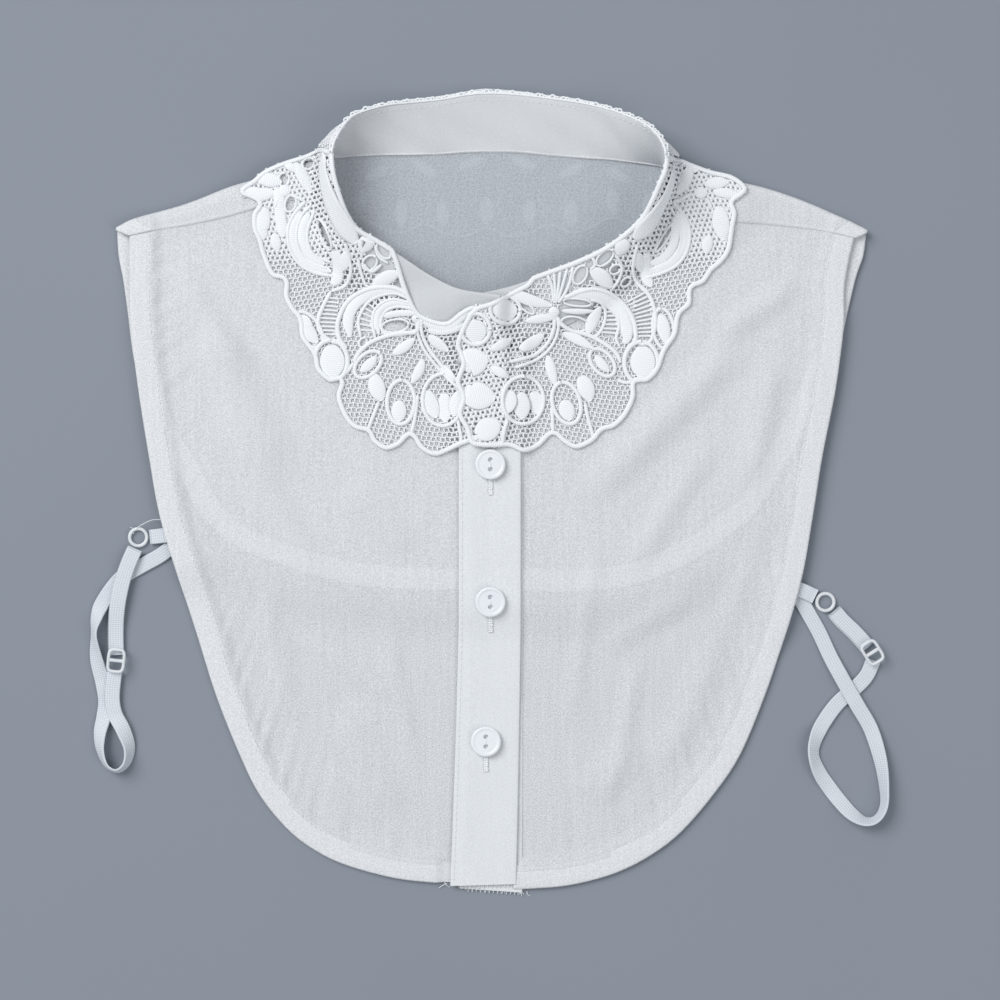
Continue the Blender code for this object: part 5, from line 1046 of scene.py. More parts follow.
# %% Lay lace out on what it hangs over
LACE_STAND_OFF = 0.5    # from the top of the cloth below to the lace's middle
OVER_TOP = 1.0          # the front laces end this far over the collar's top
OVER_LEFT, OVER_LEVEL, OVER_RAMP = 1.5, 3.0, 6.0
NET_PITCH, NET_BAR = 2.0, 0.42
CLOSE_NET = 0.34        # bars are this much wider beside the shoulders and at the front
NET_DROP = 0.2          # the net lies low, on the cloth; the motifs stand a little above it
EDGE_CORD, OPENING_CORD = 1.05, 0.5     # half widths of the cords round a lace and round an opening


def ellipse(x, y, length, width, turn, count=24, scale=1.0):
    """Oval: long half-axis times cos a and short one times sin a, turned and moved to x, y."""
    angle = circle(count)
    return turned(x, y, scale * length / 2 * np.cos(angle), scale * width / 2 * np.sin(angle), turn)


def lace_ring(outer, inner, side):
    """A front lace's outline: its scallops, its end at the placket, then the collar's top edge."""
    half = COLLAR_COLUMNS // 2
    over = side_step(TOP_EDGE, -OVER_TOP)[:, :2]
    plan = over[:half] if side == "left" else over[half:][::-1]
    chosen = ((plan[:, 0] * np.sign(outer[0][0]) > abs(inner[-1][0]) + 2) & (plan[:, 1] > inner[-1][1])
              & (plan[:, 1] < outer[0][1] - 2))
    return np.vstack([spline(outer, 1.5), spline(inner, 1.5), plan[chosen]])


LEFT_RING = lace_ring(LEFT_LACE_OUTER, LEFT_LACE_INNER, "left")
RIGHT_RING = lace_ring(RIGHT_LACE_OUTER, RIGHT_LACE_INNER, "right")


def hang(plan, over_left=False):
    """Middle of the lace and its normal: the cloth's top plus the stand-off, square to the slope."""
    plan = np.asarray(plan, float)
    flat = plan.reshape(-1, 2)
    step = 0.6
    slope_x = (drape.at(flat + [step, 0]) - drape.at(flat - [step, 0])) / (2 * step)
    slope_y = (drape.at(flat + [0, step]) - drape.at(flat - [0, step])) / (2 * step)
    normal = unit(np.column_stack([-slope_x, -slope_y, np.ones(len(flat))]))
    place = np.column_stack([flat, drape.at(flat)]) + LACE_STAND_OFF * normal
    if over_left:
        outside = np.where(is_inside(flat, LEFT_RING), 0.0, distance_to(flat, LEFT_RING, True))
        place[:, 2] += OVER_LEFT * smooth(1 - (outside - OVER_LEVEL) / OVER_RAMP)
    return place.reshape(plan.shape[:-1] + (3,)), normal.reshape(plan.shape[:-1] + (3,))


def spread_area(ring):
    """Area inside a ring as it lies, m2: cells of one square millimetre, times sqrt(1 + slope^2)."""
    low, high = ring.min(0), ring.max(0)
    x, y = np.meshgrid(np.arange(low[0], high[0]), np.arange(low[1], high[1]))
    cells = np.column_stack([x.ravel(), y.ravel()])
    cells = cells[is_inside(cells, ring)]
    slopes = [drape.at(cells + step) - drape.at(cells - step) for step in ([0.5, 0.0], [0.0, 0.5])]
    return np.sqrt(1 + slopes[0] ** 2 + slopes[1] ** 2).sum() * MM ** 2


print("laces as they lie, m2:", spread_area(LEFT_RING).round(5), spread_area(RIGHT_RING).round(5))

# %% Thread: closed sweeps of an oval, and flat bars
def sweep(centre, normal, half_width, half_height, sides=8):
    """Closed rounded strip: at each station centre + side * w cos a + normal * h sin a."""
    tangent = np.gradient(centre, axis=0)
    side = unit(np.cross(tangent, normal))
    angle = circle(sides) - math.pi / 2
    points = (centre[:, None] + side[:, None] * half_width[:, None, None] * np.cos(angle)[None, :, None]
              + normal[:, None] * half_height[:, None, None] * np.sin(angle)[None, :, None])
    run = run_of(centre)
    uv = np.stack([np.repeat(run[:, None], sides, axis=1), half_width[:, None] * np.cos(angle)[None]], axis=2)
    return points.reshape(-1, 3), closed_quads(len(centre), sides), uv.reshape(-1, 2)


def even_sweep(centre, normal, half_width, half_height, sides=6):
    """A sweep of the same width and height all along."""
    return sweep(centre, normal, np.full(len(centre), half_width), np.full(len(centre), half_height), sides)


def bar_net(segments, normals, radius, flat=0.4):
    """Flat bars between pairs of points, all at once: four corners at each end, six faces."""
    tangent = unit(segments[:, 1] - segments[:, 0])
    normal = normals.mean(1)
    side = unit(np.cross(tangent, normal))
    radius = np.broadcast_to(radius, len(segments))[:, None, None]
    corners = np.stack([-side, -normal * flat, side, normal * flat], axis=1) * radius
    ends = segments + np.stack([-tangent, tangent], axis=1) * radius * 0.5
    points = (ends[:, :, None] + corners[:, None]).reshape(-1, 3)
    first = np.arange(len(segments))[:, None, None] * 8
    faces = np.array([[0, 4, 5, 1], [1, 5, 6, 2], [2, 6, 7, 3], [3, 7, 4, 0], [0, 1, 2, 3], [7, 6, 5, 4]])
    uv = np.tile([[0, 0], [0, 1], [0, 2], [0, 3], [2, 0], [2, 1], [2, 2], [2, 3]], (len(segments), 1))
    return points, (first + faces[None]).reshape(-1, 4), uv * 0.5

# %% The net, and lines kept inside an outline
def brick_net(ring, holes, pitch):
    """Bars of a brick net inside a ring and outside every hole; rows bend a little, knots wander."""
    low, high = ring.min(0) - 2 * pitch - 2, ring.max(0) + 2 * pitch + 2
    columns, rows = (np.ceil((high - low) / pitch)).astype(int) + 1
    i, j = np.meshgrid(np.arange(columns * 2), np.arange(rows), indexing="ij")
    x, y = low[0] + i * pitch / 2, low[1] + j * pitch
    wander = 0.13 * pitch
    px = x + wander * np.sin(i * 12.9898 + j * 78.233) + 2.2 * np.sin(y / 13.0 + 0.8)
    py = y + wander * np.sin(i * 39.346 + j * 11.135) + 2.2 * np.sin(x / 12.0)
    knots = np.stack([px, py], axis=2)
    across = np.stack([knots[:-1], knots[1:]], axis=2).reshape(-1, 2, 2)
    odd = (i[:, :-1] + j[:, :-1]) % 2 == 0
    upright = np.stack([knots[:, :-1], knots[:, 1:]], axis=2)[odd].reshape(-1, 2, 2)
    bars = np.concatenate([across, upright])
    middle = bars.mean(1)
    keep = is_inside(middle, ring)
    bars, middle = bars[keep], middle[keep]
    keep = distance_to(middle, ring, True) > 0.7
    for hole in holes:
        keep &= ~is_inside(middle, hole)
    return bars[keep]


def pull_inside(points, ring, clearance):
    """Points nearer a ring than the clearance, or outside it, moved square to it to that distance."""
    start, end = ring, np.roll(ring, -1, axis=0)
    span = end - start
    offset = points[:, None] - start[None]
    share = np.clip((offset * span).sum(2) / np.maximum((span ** 2).sum(1), 1e-9), 0, 1)
    feet = start[None] + share[..., None] * span
    distance = np.linalg.norm(points[:, None] - feet, axis=2)
    nearest = distance.argmin(1)
    foot = feet[np.arange(len(points)), nearest]
    gap = distance.min(1)
    inside = is_inside(points, ring)
    direction = (points - foot) / np.maximum(gap, 1e-6)[:, None] * np.where(inside, 1, -1)[:, None]
    moved = foot + direction * np.broadcast_to(clearance, len(points))[:, None]
    return np.where((inside & (gap >= clearance))[:, None], points, moved)


# %% One lace from its rows of motifs
def petal(x, y, length, width, turn, lift, place, ring):
    """Padded petal: a short sweep whose width follows sqrt(sin) along it, and its height with it."""
    share = np.linspace(0.012, 0.988, 15)
    bow = 0.05 * length * np.sin(math.pi * share) * math.sin(x * 1.7 + y)
    plan = turned(x, y, (share - 0.5) * length, bow, turn)
    full = np.sin(math.pi * share) ** 0.55 * (1 + 0.12 * math.sin(x + 2 * y) * (share - 0.5))
    plan = pull_inside(plan, ring, np.minimum(width / 2 * full, 2.6) + 0.3)
    centre, normal = place(plan)
    centre = centre + normal * (0.15 * lift * full)[:, None]
    return sweep(centre, normal, width / 2 * full, 0.2 + (0.05 + 0.35 * lift) * full, 12)


def cord_height(half_width):
    """Half height of a cord: it is pressed a little flat, the more so the wider it is."""
    return 0.3 + 0.35 * half_width


def cord(points, half_width, place, ring):
    """Cord along a plan line, tapered over the last millimetre at each end."""
    line = pull_inside(spline(points, 1.1), ring, half_width)
    centre, normal = place(line)
    run = run_of(line)
    taper = np.clip(np.minimum(run, run[-1] - run) / half_width, 0, 1) ** 0.5 * 0.7 + 0.3
    high = cord_height(half_width)
    return sweep(centre + normal * (high - 0.4), normal, half_width * taper, high * taper, 8)


def satin(points, half_width, lift, place, ring):
    """Flat padded band: wide across and low, narrowing to both ends."""
    line = pull_inside(spline(points, 1.0), ring, half_width * 0.95)
    centre, normal = place(line)
    share = np.linspace(0, 1, len(line))
    taper = 0.25 + 0.75 * np.clip(np.sin(math.pi * share) * 2.2, 0, 1) ** 0.7
    return sweep(centre + normal * 0.1, normal, half_width * taper, 0.25 + 0.3 * lift * taper, 10)


def ladder(count, half_width, inner, outer, place):
    """Bars between matching places on two lines."""
    a, b = along(spline(inner, 0.5), count + 2)[1:-1], along(spline(outer, 0.5), count + 2)[1:-1]
    parts = []
    for start, end in zip(a, b):
        line = start + (end - start) * np.linspace(-0.05, 1.05, 6)[:, None]
        parts.append(even_sweep(*place(line), half_width, half_width * 0.6))
    return parts


def closed_cord(ring, half_width, place, sides=8):
    """Cord right round a closed line: the sweep's two ends meet, so its tube closes on itself."""
    line = along(np.vstack([ring, ring[:1]]), max(12, int(run_of(ring)[-1] / 1.1)))
    centre, normal = place(line)
    high = cord_height(half_width)
    return even_sweep(centre + normal * (high - 0.4), normal, half_width, high, sides)

# %% A front lace: a sheet, and what is sewn on it
def front_lace(side, ring, outward, motifs, place):
    """One front lace: its net and outline are a sheet, and cords and motifs are sewn on it."""
    holes = [ellipse(*row) for row in motifs["openings"] + motifs["no_net"]]
    holes += [ellipse(*row[:5], scale=0.8) for row in motifs["solid"]]
    bars = brick_net(ring, holes, NET_PITCH)
    ends, normals = place(bars)
    x, y = bars[:, 0].T
    close = np.maximum(smooth((y - 90) / 14), 0.7 * smooth((14 - np.abs(x + 2)) / 8))
    ground = [bar_net(ends - NET_DROP * normals, normals, NET_BAR + CLOSE_NET * close)]
    inside = side_step(np.vstack([ring, ring[:1]]), -outward * EDGE_CORD)[:-1]
    ground.append(closed_cord(inside, EDGE_CORD, place))
    raised = [closed_cord(pull_inside(ellipse(*row[:5], count=28), ring, row[5]), row[5], place)
              for row in motifs["rings"]]
    raised += [closed_cord(ellipse(*row, scale=1.1), OPENING_CORD, place) for row in motifs["openings"]]
    raised += [cord(points, width, place, ring) for width, points in motifs["cords"]]
    raised += [petal(*row, place, ring) for row in motifs["solid"]]
    raised += [satin(points, width, lift, place, ring) for width, lift, points in motifs["bands"]]
    for row in motifs["ladders"]:
        raised += ladder(*row, place)
    sheet = make_piece("lace_%s_thread" % side, *join(ground), [guipure])
    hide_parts("lace_" + side)
    return sheet, make_piece("lace_%s_motifs" % side, *join(raised), [guipure])


# %% Guipure thread
STITCH_PITCH = 0.8      # mm; satin stitches lie 0.3 mm apart, drawn coarser so that they show
WAVE_UNIT = 2 * math.pi / 20        # a wave texture repeats once in this length over its scale


def make_guipure():
    """Guipure: matt white thread whose stitches cross each cord and petal, as bump and faint shade."""
    material, tree, shader = new_material("guipure_thread", "F2F4F6", 0.7, Sheen_Weight=0.2,
                                          Specular_IOR_Level=0.3)
    place = add_node(tree, "ShaderNodeUVMap", uv_map="cloth_mm")
    stitch = add_node(tree, "ShaderNodeTexWave", {"Vector": place.outputs["UV"]}, bands_direction="X",
                      Scale=WAVE_UNIT / STITCH_PITCH, Distortion=1.2, Detail=1.0)
    blend_tints(tree, shader, stitch.outputs["Fac"], "E6EAEE", "F3F5F7")
    add_bump(tree, shader, stitch.outputs["Fac"], 0.4, 0.2)
    return material


guipure = make_guipure()
lace_left, motifs_left = front_lace("left", LEFT_RING, -1, LEFT_LACE, hang)
lace_right, motifs_right = front_lace("right", RIGHT_RING, 1, RIGHT_LACE, lambda plan: hang(plan, True))

# %% [markdown]
# ## Lace behind the neck
#
# The same lace goes on behind: up the outside of the collar, where its edge just shows above the
# collar's top, and flat under the back, where it shows faintly through the chiffon.

# %% Back lace: a flat part in plan and a strip up the collar's wall
BACK_MOTIFS = [
    # x, y, length, width, turn: one repeat of petals, spaced along the scallops
    (-84, 125, 11, 5.5, 20), (-68, 121, 10, 5, 100), (-55, 122, 11, 6, 80), (-37.5, 117, 12, 6.5, 90),
    (-20, 117, 11, 6, 95), (-1.5, 118, 12, 6.5, 90), (16.5, 117, 11, 6, 85), (34, 117, 12, 6.5, 90),
    (51.5, 122, 11, 6, 100), (66, 121, 10, 5, 80), (84, 125, 11, 5.5, 160), (-48, 134, 12, 5, 30),
    (-28, 136, 12, 5, 150), (-8, 138, 12, 5, 20), (14, 138, 12, 5, 160), (34, 135, 12, 5, 30),
    (54, 133, 12, 5, 150), (-50, 150, 13, 5, 30), (-26, 153, 13, 5, 165), (0, 155, 13, 5, 15),
    (26, 153, 13, 5, 165), (50, 150, 13, 5, 150)]
fold_line = spline(BACK_LACE_FOLD, 2.0)
outside = side_step(TOP_EDGE, 0.15) + [0, 0, 0.8]
wall_top = along(outside[outside[:, 1] > 137.5], len(fold_line))
WALL_LENGTH = run_of(fold_line)[-1]
FLAT_PITCH, FLAT_BAR = 2.3, 0.26        # the net under the back
WALL_PITCH, WALL_BAR = 2.2, 0.62        # the net on the wall, pushed together
LOOP_RADIUS = 0.62      # of the small loops along the top
WALL_SHARES = np.array([0.0, 0.18, 0.6, 1.0])       # of the wall's height, and how far it leans in there
WALL_LEANS = np.array([0.0, 0.02, 0.5, 1.0])
NECK_MIDDLE = np.array([2.0, 100.0])
print("fold of the lace behind, mm:", WALL_LENGTH.round(1))

# %% Where the lace behind lies
def flat_behind(plan):
    """The flat part lies on the surface; its normal points up."""
    plan = np.asarray(plan, float)
    height = np.full(plan.shape[:-1] + (1,), HALF_WALL + 0.12)
    return np.concatenate([plan, height], axis=-1), upward(*plan.shape[:-1])


def up_wall(place):
    """Place (run along the fold, share of the wall's height) on the collar's outer side."""
    place = np.asarray(place, float)
    station = np.clip(place[..., 0] / WALL_LENGTH, 0, 1) * (len(fold_line) - 1)
    share = np.clip(place[..., 1], 0, 1.06)
    low, top = [np.stack([np.interp(station, np.arange(len(line)), column) for column in line.T], axis=-1)
                for line in (fold_line, wall_top)]
    lean = np.interp(share, WALL_SHARES, WALL_LEANS)[..., None]
    plan = low + (top[..., :2] - low) * lean
    height = HALF_WALL + 0.12 + (top[..., 2] - HALF_WALL) * share
    out = unit(plan - NECK_MIDDLE)
    normal = np.concatenate([out * 0.85, np.full(out.shape[:-1] + (1,), 0.5)], axis=-1)
    return np.concatenate([plan, height[..., None]], axis=-1), normal

# %% The lace behind, in two parts
def flat_lace():
    """The part under the back: its net, the cord round it, and one petal for each row of motifs."""
    ring = np.vstack([fold_line, spline(BACK_LACE_SCALLOPS, 2.0)[1:-1]])
    bars = brick_net(ring, [ellipse(*row, scale=0.8) for row in BACK_MOTIFS], FLAT_PITCH)
    inside = side_step(np.vstack([ring, ring[:1]]), -0.8)[:-1]
    parts = [bar_net(*flat_behind(bars), FLAT_BAR), closed_cord(inside, 0.55, flat_behind, 6)]
    share = np.linspace(0.02, 0.98, 11)
    full = np.sin(math.pi * share) ** 0.55
    for x, y, length, width, turn in BACK_MOTIFS:
        plan = turned(x, y, (share - 0.5) * length, 0.0, turn)
        parts.append(sweep(*flat_behind(plan), width / 2 * full, 0.3 + 0.25 * full, 10))
    return parts


def wall_lace():
    """The part up the collar's wall: net, a row of loops on top, two cords, and slanting petals."""
    stations = np.linspace(0, WALL_LENGTH, len(wall_top))
    climb = np.hypot(wall_top[:, 2], np.linalg.norm(wall_top[:, :2] - fold_line, axis=1))
    ring = np.vstack([[(0.0, 0.0), (WALL_LENGTH, 0.0)], np.column_stack([stations, climb])[::-1]])
    bars = brick_net(ring, [], WALL_PITCH)
    bars[..., 1] /= np.interp(bars[..., 0], stations, climb)
    parts = [bar_net(*up_wall(bars), WALL_BAR)]
    turn = np.linspace(0, 2 * math.pi, 13)
    for index, centre in enumerate(along(side_step(wall_top, 0.45), int(run_of(wall_top)[-1] / 1.5))):
        radius = LOOP_RADIUS + 0.3 * math.sin(index * 2.4) * math.sin(index * 0.37)
        loop = centre + np.column_stack([radius * 1.2 * np.cos(turn), radius * np.sin(turn), 0 * turn])
        loop += [0, 0.35 * math.sin(index * 1.7), -0.3]
        parts.append(even_sweep(loop, upward(len(loop)), 0.42, 0.34))
    for share, width in ((0.0, 0.5), (1.0, 0.62)):
        line = np.column_stack([np.linspace(1, WALL_LENGTH - 1, 150), np.full(150, share)])
        parts.append(even_sweep(*up_wall(line), width, width * 0.8))
    share = np.linspace(0.02, 0.98, 9)
    full = np.sin(math.pi * share) ** 0.6
    for index, start in enumerate(np.arange(4.0, WALL_LENGTH - 10, 11.0)):
        lean = 0.25 if index % 2 else -0.25
        line = np.column_stack([start + 9 * share, 0.72 + lean * (share - 0.5)])
        parts.append(sweep(*up_wall(line), 1.9 * full, 0.3 + 0.3 * full, 8))
    return parts


def back_lace():
    """Both parts of the lace behind, as one mesh."""
    piece = make_piece("lace_back_thread", *join(flat_lace() + wall_lace()), [guipure])
    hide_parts("lace_back")
    return piece


lace_back = back_lace()

# %% [markdown]
# ## Straps, rings and sliders
#
# A narrow knitted elastic hangs at each side: a short doubled end and a long loop, joined through a
# ring and a figure-of-eight slider. A simulated ribbon would settle somewhere else, so each follows
# the route that it was laid in, with its lean written at every point.

# %% Elastic
RIB_PITCH, LOOP_PITCH = 1.05, 0.9       # mm; ribs of the knit, six across the elastic, and its loops
ELASTIC_WIDTH, ELASTIC_WALL, DOUBLED_WALL = 6.3, 0.9, 0.86
SIDES = {
    # ring: x, y; slider: x, y, underside, turn; elastics: x, y, layers up, lean in degrees
    "left": {
        "ring": (-147.9, -19), "slider": (-156.8, -70.6, 2.75, 84),
        "tab": [(-131.5, -17.5, 1, 0), (-137.5, -18.3, 1, 0), (-143, -18.9, 0.3, 0)],
        "short": [
            (-149.4, -23.9, 0.6, 0), (-152, -30, 1, 0), (-154.4, -37, 1.05, 0), (-156.2, -45, 1, 0),
            (-157.2, -52, 0.5, 0), (-157.6, -59, 0, 0), (-157.4, -68.6, 0, 0)],
        "loop": [
            (-127.5, -17.4, 0, 0), (-131.5, -20.8, 0, 0), (-138, -26.2, 0, 0), (-146.5, -31, 0, 0),
            (-155.5, -36.5, 0, 0), (-162.6, -46, 0, 0), (-165.2, -52.5, 0, 35), (-166.2, -59.5, 0, 65),
            (-165.4, -69.5, 0, 30), (-163, -79, 0, 0), (-161.6, -87.5, 0, 0), (-162.4, -94.5, 0, 10),
            (-163.8, -101, 0, 30), (-163.6, -108, 0, 55), (-161, -114.6, 0, 72), (-156.5, -117, 0, 75),
            (-152.4, -113.6, 0, 70), (-151.4, -107, 0.1, 50), (-154, -99.5, 1, 20), (-157.4, -93.2, 1, 0),
            (-158.6, -86, 1, 0), (-157.6, -75, 1, 0)]},
    "right": {
        "ring": (140.6, -46.2), "slider": (160, -67.2, 2.4, 122),
        "tab": [(126.5, -39.6, 1, 0), (132, -41.9, 1, 0), (136.2, -43.9, 0.8, 0)],
        "short": [(143.8, -50, 0, 0), (147.5, -54.3, 0, 0), (153, -59.6, 0, 0), (158, -65.2, 0, 0)],
        "loop": [
            (119.4, -30.6, 0, 0), (125.5, -38, 0, 0), (130.4, -45.6, 0, 0), (133.8, -51.5, 0, 0),
            (138, -59, 0, 0), (142.6, -69, 0.4, 0), (146.6, -76.6, 1, 0), (150.4, -83.4, 1, 0),
            (154.2, -90, 1, 0), (159.6, -99.5, 0.3, 10), (163.4, -112, 0, 35), (165, -124, 0, 60),
            (164.8, -132, 0, 70), (161.8, -137, 0, 72), (157, -138, 0, 60), (151.6, -135, 0, 30),
            (147, -130.2, 0, 10), (142.6, -124.6, 0, 0), (138.2, -118, 0, 20), (135.6, -111, 0, 40),
            (136, -105, 0, 30), (139.4, -97.5, 0, 0), (145.5, -89, 0, 0), (153.2, -82.2, 0, 0),
            (158, -77, 0, 0), (160.8, -70.6, 0, 0)]}}

# %% The knit of the elastic
def make_elastic():
    """Knitted elastic: ribs along it and loops across it, from the UV in millimetres."""
    material, tree, shader = new_material("knitted_elastic", "F6F8FB", 0.6, Sheen_Weight=0.15)
    place = add_node(tree, "ShaderNodeUVMap", uv_map="cloth_mm")
    ribs = add_node(tree, "ShaderNodeTexWave", {"Vector": place.outputs["UV"]}, bands_direction="Y",
                    Scale=WAVE_UNIT / RIB_PITCH)
    loops = add_node(tree, "ShaderNodeTexWave", {"Vector": place.outputs["UV"]}, bands_direction="X",
                     Scale=WAVE_UNIT / LOOP_PITCH, Distortion=2.0, Detail=0.0)
    knit = add_node(tree, "ShaderNodeMath", {0: ribs.outputs["Fac"], 1: loops.outputs["Fac"]},
                    operation="MULTIPLY")
    blend_tints(tree, shader, knit.outputs[0], "C8CED6", "E8ECF0")
    add_bump(tree, shader, knit.outputs[0], 0.5, 0.3)
    return material


elastic = make_elastic()

# %% The six elastics
def ribbon_rails(route, thickness):
    """Edges of an elastic: centre plus and minus half its width, turned by the lean at each point."""
    line = spline(route, 1.3)
    tangent = unit(np.gradient(line[:, :2], axis=0))
    lean = np.radians(line[:, 3])
    across = np.column_stack([-tangent[:, 1] * np.cos(lean), tangent[:, 0] * np.cos(lean), np.sin(lean)])
    height = (np.maximum(line[:, 2], 0) * LAYER + np.abs(np.sin(lean)) * ELASTIC_WIDTH / 2
              + np.cos(lean) * thickness / 2 + 0.02)
    centre = np.column_stack([line[:, :2], height])
    return centre + across * ELASTIC_WIDTH / 2, centre - across * ELASTIC_WIDTH / 2


straps = {}
for side, parts in SIDES.items():
    for kind, node in (("tab", "tab_" + side), ("loop", "strap_loop_" + side)):
        rails = ribbon_rails(parts[kind], 1.0)
        piece = make_piece(node + "_knit", *strip(*rails, ELASTIC_WALL, 8), [elastic])
        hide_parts(node)
        straps[node] = piece
    rail_a, rail_b = ribbon_rails(parts["short"], 2.0)
    layers = [strip(rail_a + shift, rail_b + shift, DOUBLED_WALL, 8)
              for shift in ([0, 0, -0.5], [0.5, 0.2, 0.5])]
    piece = make_piece("strap_short_" + side + "_knit", *join(layers), [elastic])
    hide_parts("strap_short_" + side)
    straps["strap_short_" + side] = piece

# %% Ring and slider
# Moulded nylon is milky, half clear and smooth, so that it shows soft highlights.
RING_RADIUS, RING_WIRE = 3.6, 0.75
SLIDER_LENGTH, SLIDER_WIDTH = 2 * 4.6, 2 * 3.25       # between the middles of opposite sides
SLIDER_MIDDLE = 0.9     # from a slider's underside to its middle
nylon = make_cloudy("moulded_nylon", "F2F5F8", 0.22, "E2E8EE", "FBFCFD", {"Scale": 1 / (3 * MM)},
                    Alpha=0.72, Specular_IOR_Level=0.5)

# %% The tubes of rings and sliders
def loop_tube(line, half_width, half_height, sides=12):
    """Tube round a closed line in space, wider than it is high; no ends, so nothing to cap."""
    tangent = unit(np.roll(line, -1, axis=0) - np.roll(line, 1, axis=0))
    up = np.array([0.0, 0.0, 1.0])
    side = np.cross(tangent, up)
    angle = circle(sides)
    points = (line[:, None] + side[:, None] * half_width * np.cos(angle)[None, :, None]
              + up * half_height * np.sin(angle)[None, :, None])
    here = np.arange(len(line) * sides).reshape(len(line), sides)
    onward, around = np.roll(here, -1, axis=0), np.roll(here, -1, axis=1)
    quads = np.stack([here, onward, np.roll(onward, -1, axis=1), around], axis=2).reshape(-1, 4)
    uv = np.stack(np.meshgrid(np.arange(len(line)) * 0.5, np.arange(sides) * 0.3, indexing="ij"), axis=2)
    return points.reshape(-1, 3), quads, uv.reshape(-1, 2)


def slider_parts(x, y, underside, turn):
    """Figure of eight: a rounded rectangle's tube with a flat bar across its middle."""
    angle = circle(48)
    power = 0.45        # of the cosine and sine; 1 would give an ellipse, 0 a sharp rectangle
    u = SLIDER_LENGTH / 2 * np.sign(np.cos(angle)) * np.abs(np.cos(angle)) ** power
    v = SLIDER_WIDTH / 2 * np.sign(np.sin(angle)) * np.abs(np.sin(angle)) ** power
    middle = underside + SLIDER_MIDDLE
    outline = np.column_stack([turned(x, y, u, v, turn), np.full(48, middle)])
    outline = along(np.vstack([outline, outline[:1]]), 65)[:-1]
    across = np.linspace(-SLIDER_WIDTH / 2, SLIDER_WIDTH / 2, 12)
    bar = np.column_stack([turned(x, y, 0.0, across, turn), np.full(12, middle)])
    return [loop_tube(outline, 0.68, 0.88), even_sweep(bar, upward(12), 0.75, 0.7, 10)]


for side, parts in SIDES.items():
    middle = ellipse(*parts["ring"], 2 * RING_RADIUS, 2 * RING_RADIUS, 0, 72)
    tube = loop_tube(np.column_stack([middle, np.full(72, RING_WIRE)]), RING_WIRE, RING_WIRE)
    piece = make_piece("ring_" + side + "_nylon", *tube, [nylon])
    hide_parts("ring_" + side)
    piece = make_piece("slider_" + side + "_nylon", *join(slider_parts(*parts["slider"])), [nylon])
    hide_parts("slider_" + side)

# %% [markdown]
# ## Buttons
#
# A cast resin button is a shallow dish with a rounded rim and two holes. It is one surface of angle
# and radius: its profile gives the height, and two round pits take it down again. The sewing thread
# and the worked buttonhole are small sweeps on top.

# %% Buttons
BUTTONS = [(0.0, 11.5), (0.0, -46.0), (-1.9, -104.5)]
BUTTON_RADIUS, BUTTON_HEIGHT, BUTTON_DISH = 6.3, 2.2, 1.95
RIM_ROUNDING = 0.6      # radius of the rim's section
DISH_RINGS, SLOPE_RINGS, ROUND_RINGS, BUTTON_SIDES = 42, 9, 7, 80
HOLE_RADIUS, HOLE_SPACING, HOLE_DEPTH = 0.85, 4.0, 1.7
BUTTON_LIFT = 0.1       # air between the placket and a button
HOLE_SHIFT, HOLE_REACH = 3.6, 8.8       # a buttonhole's middle, below its button's, and half its length
# Cast polyester resin is smooth and glossy, with the faintest cloud of pearl.
resin = make_cloudy("cast_resin", "E6E9ED", 0.34, "E0E4E9", "EBEEF1",
                    {"Scale": 1 / (5 * MM), "Detail": 2.0, "Distortion": 1.0},
                    Coat_Weight=0.2, Coat_Roughness=0.2)

# %% A button's surface
def button_surface(x, y):
    """Revolved profile with two pits: height(r) less depth times a steep fall round each hole."""
    inner = BUTTON_RADIUS - RIM_ROUNDING
    quarter = np.linspace(0, math.pi / 2, ROUND_RINGS)
    slope_up = (BUTTON_HEIGHT - BUTTON_DISH) * smooth(np.linspace(0, 1.6, SLOPE_RINGS))
    radius = np.concatenate([np.linspace(0.02, 4.5, DISH_RINGS), np.linspace(4.6, inner, SLOPE_RINGS),
                             inner + RIM_ROUNDING * np.sin(quarter[1:]),
                             inner + RIM_ROUNDING * np.cos(quarter), [3.0, 0.02]])
    height = np.concatenate([np.full(DISH_RINGS, BUTTON_DISH), BUTTON_DISH + slope_up,
                             BUTTON_HEIGHT - RIM_ROUNDING + RIM_ROUNDING * np.cos(quarter[1:]),
                             RIM_ROUNDING - RIM_ROUNDING * np.sin(quarter), [0.0, 0.0]])
    angle = circle(BUTTON_SIDES)
    px = radius[:, None] * np.cos(angle)[None]
    py = radius[:, None] * np.sin(angle)[None]
    pz = np.repeat(height[:, None], BUTTON_SIDES, axis=1)
    top = np.arange(len(radius))[:, None] < DISH_RINGS
    for sign in (1, -1):
        far = np.hypot(px, py - sign * HOLE_SPACING / 2)
        pz = pz - np.where(top, HOLE_DEPTH * smooth((HOLE_RADIUS + 0.18 - far) / 0.25), 0)
    ends = front_bed(np.array([(x, y - BUTTON_RADIUS), (x, y + BUTTON_RADIUS)])) + 2 * LAYER
    slope = (ends[1] - ends[0]) / (2 * BUTTON_RADIUS)
    points = np.stack([px + x, py + y, pz + ends.mean() + BUTTON_LIFT + slope * py], axis=2)
    quads = closed_quads(len(radius), BUTTON_SIDES)
    return points.reshape(-1, 3), quads, np.stack([px, py], axis=2).reshape(-1, 2), ends.mean() + BUTTON_LIFT

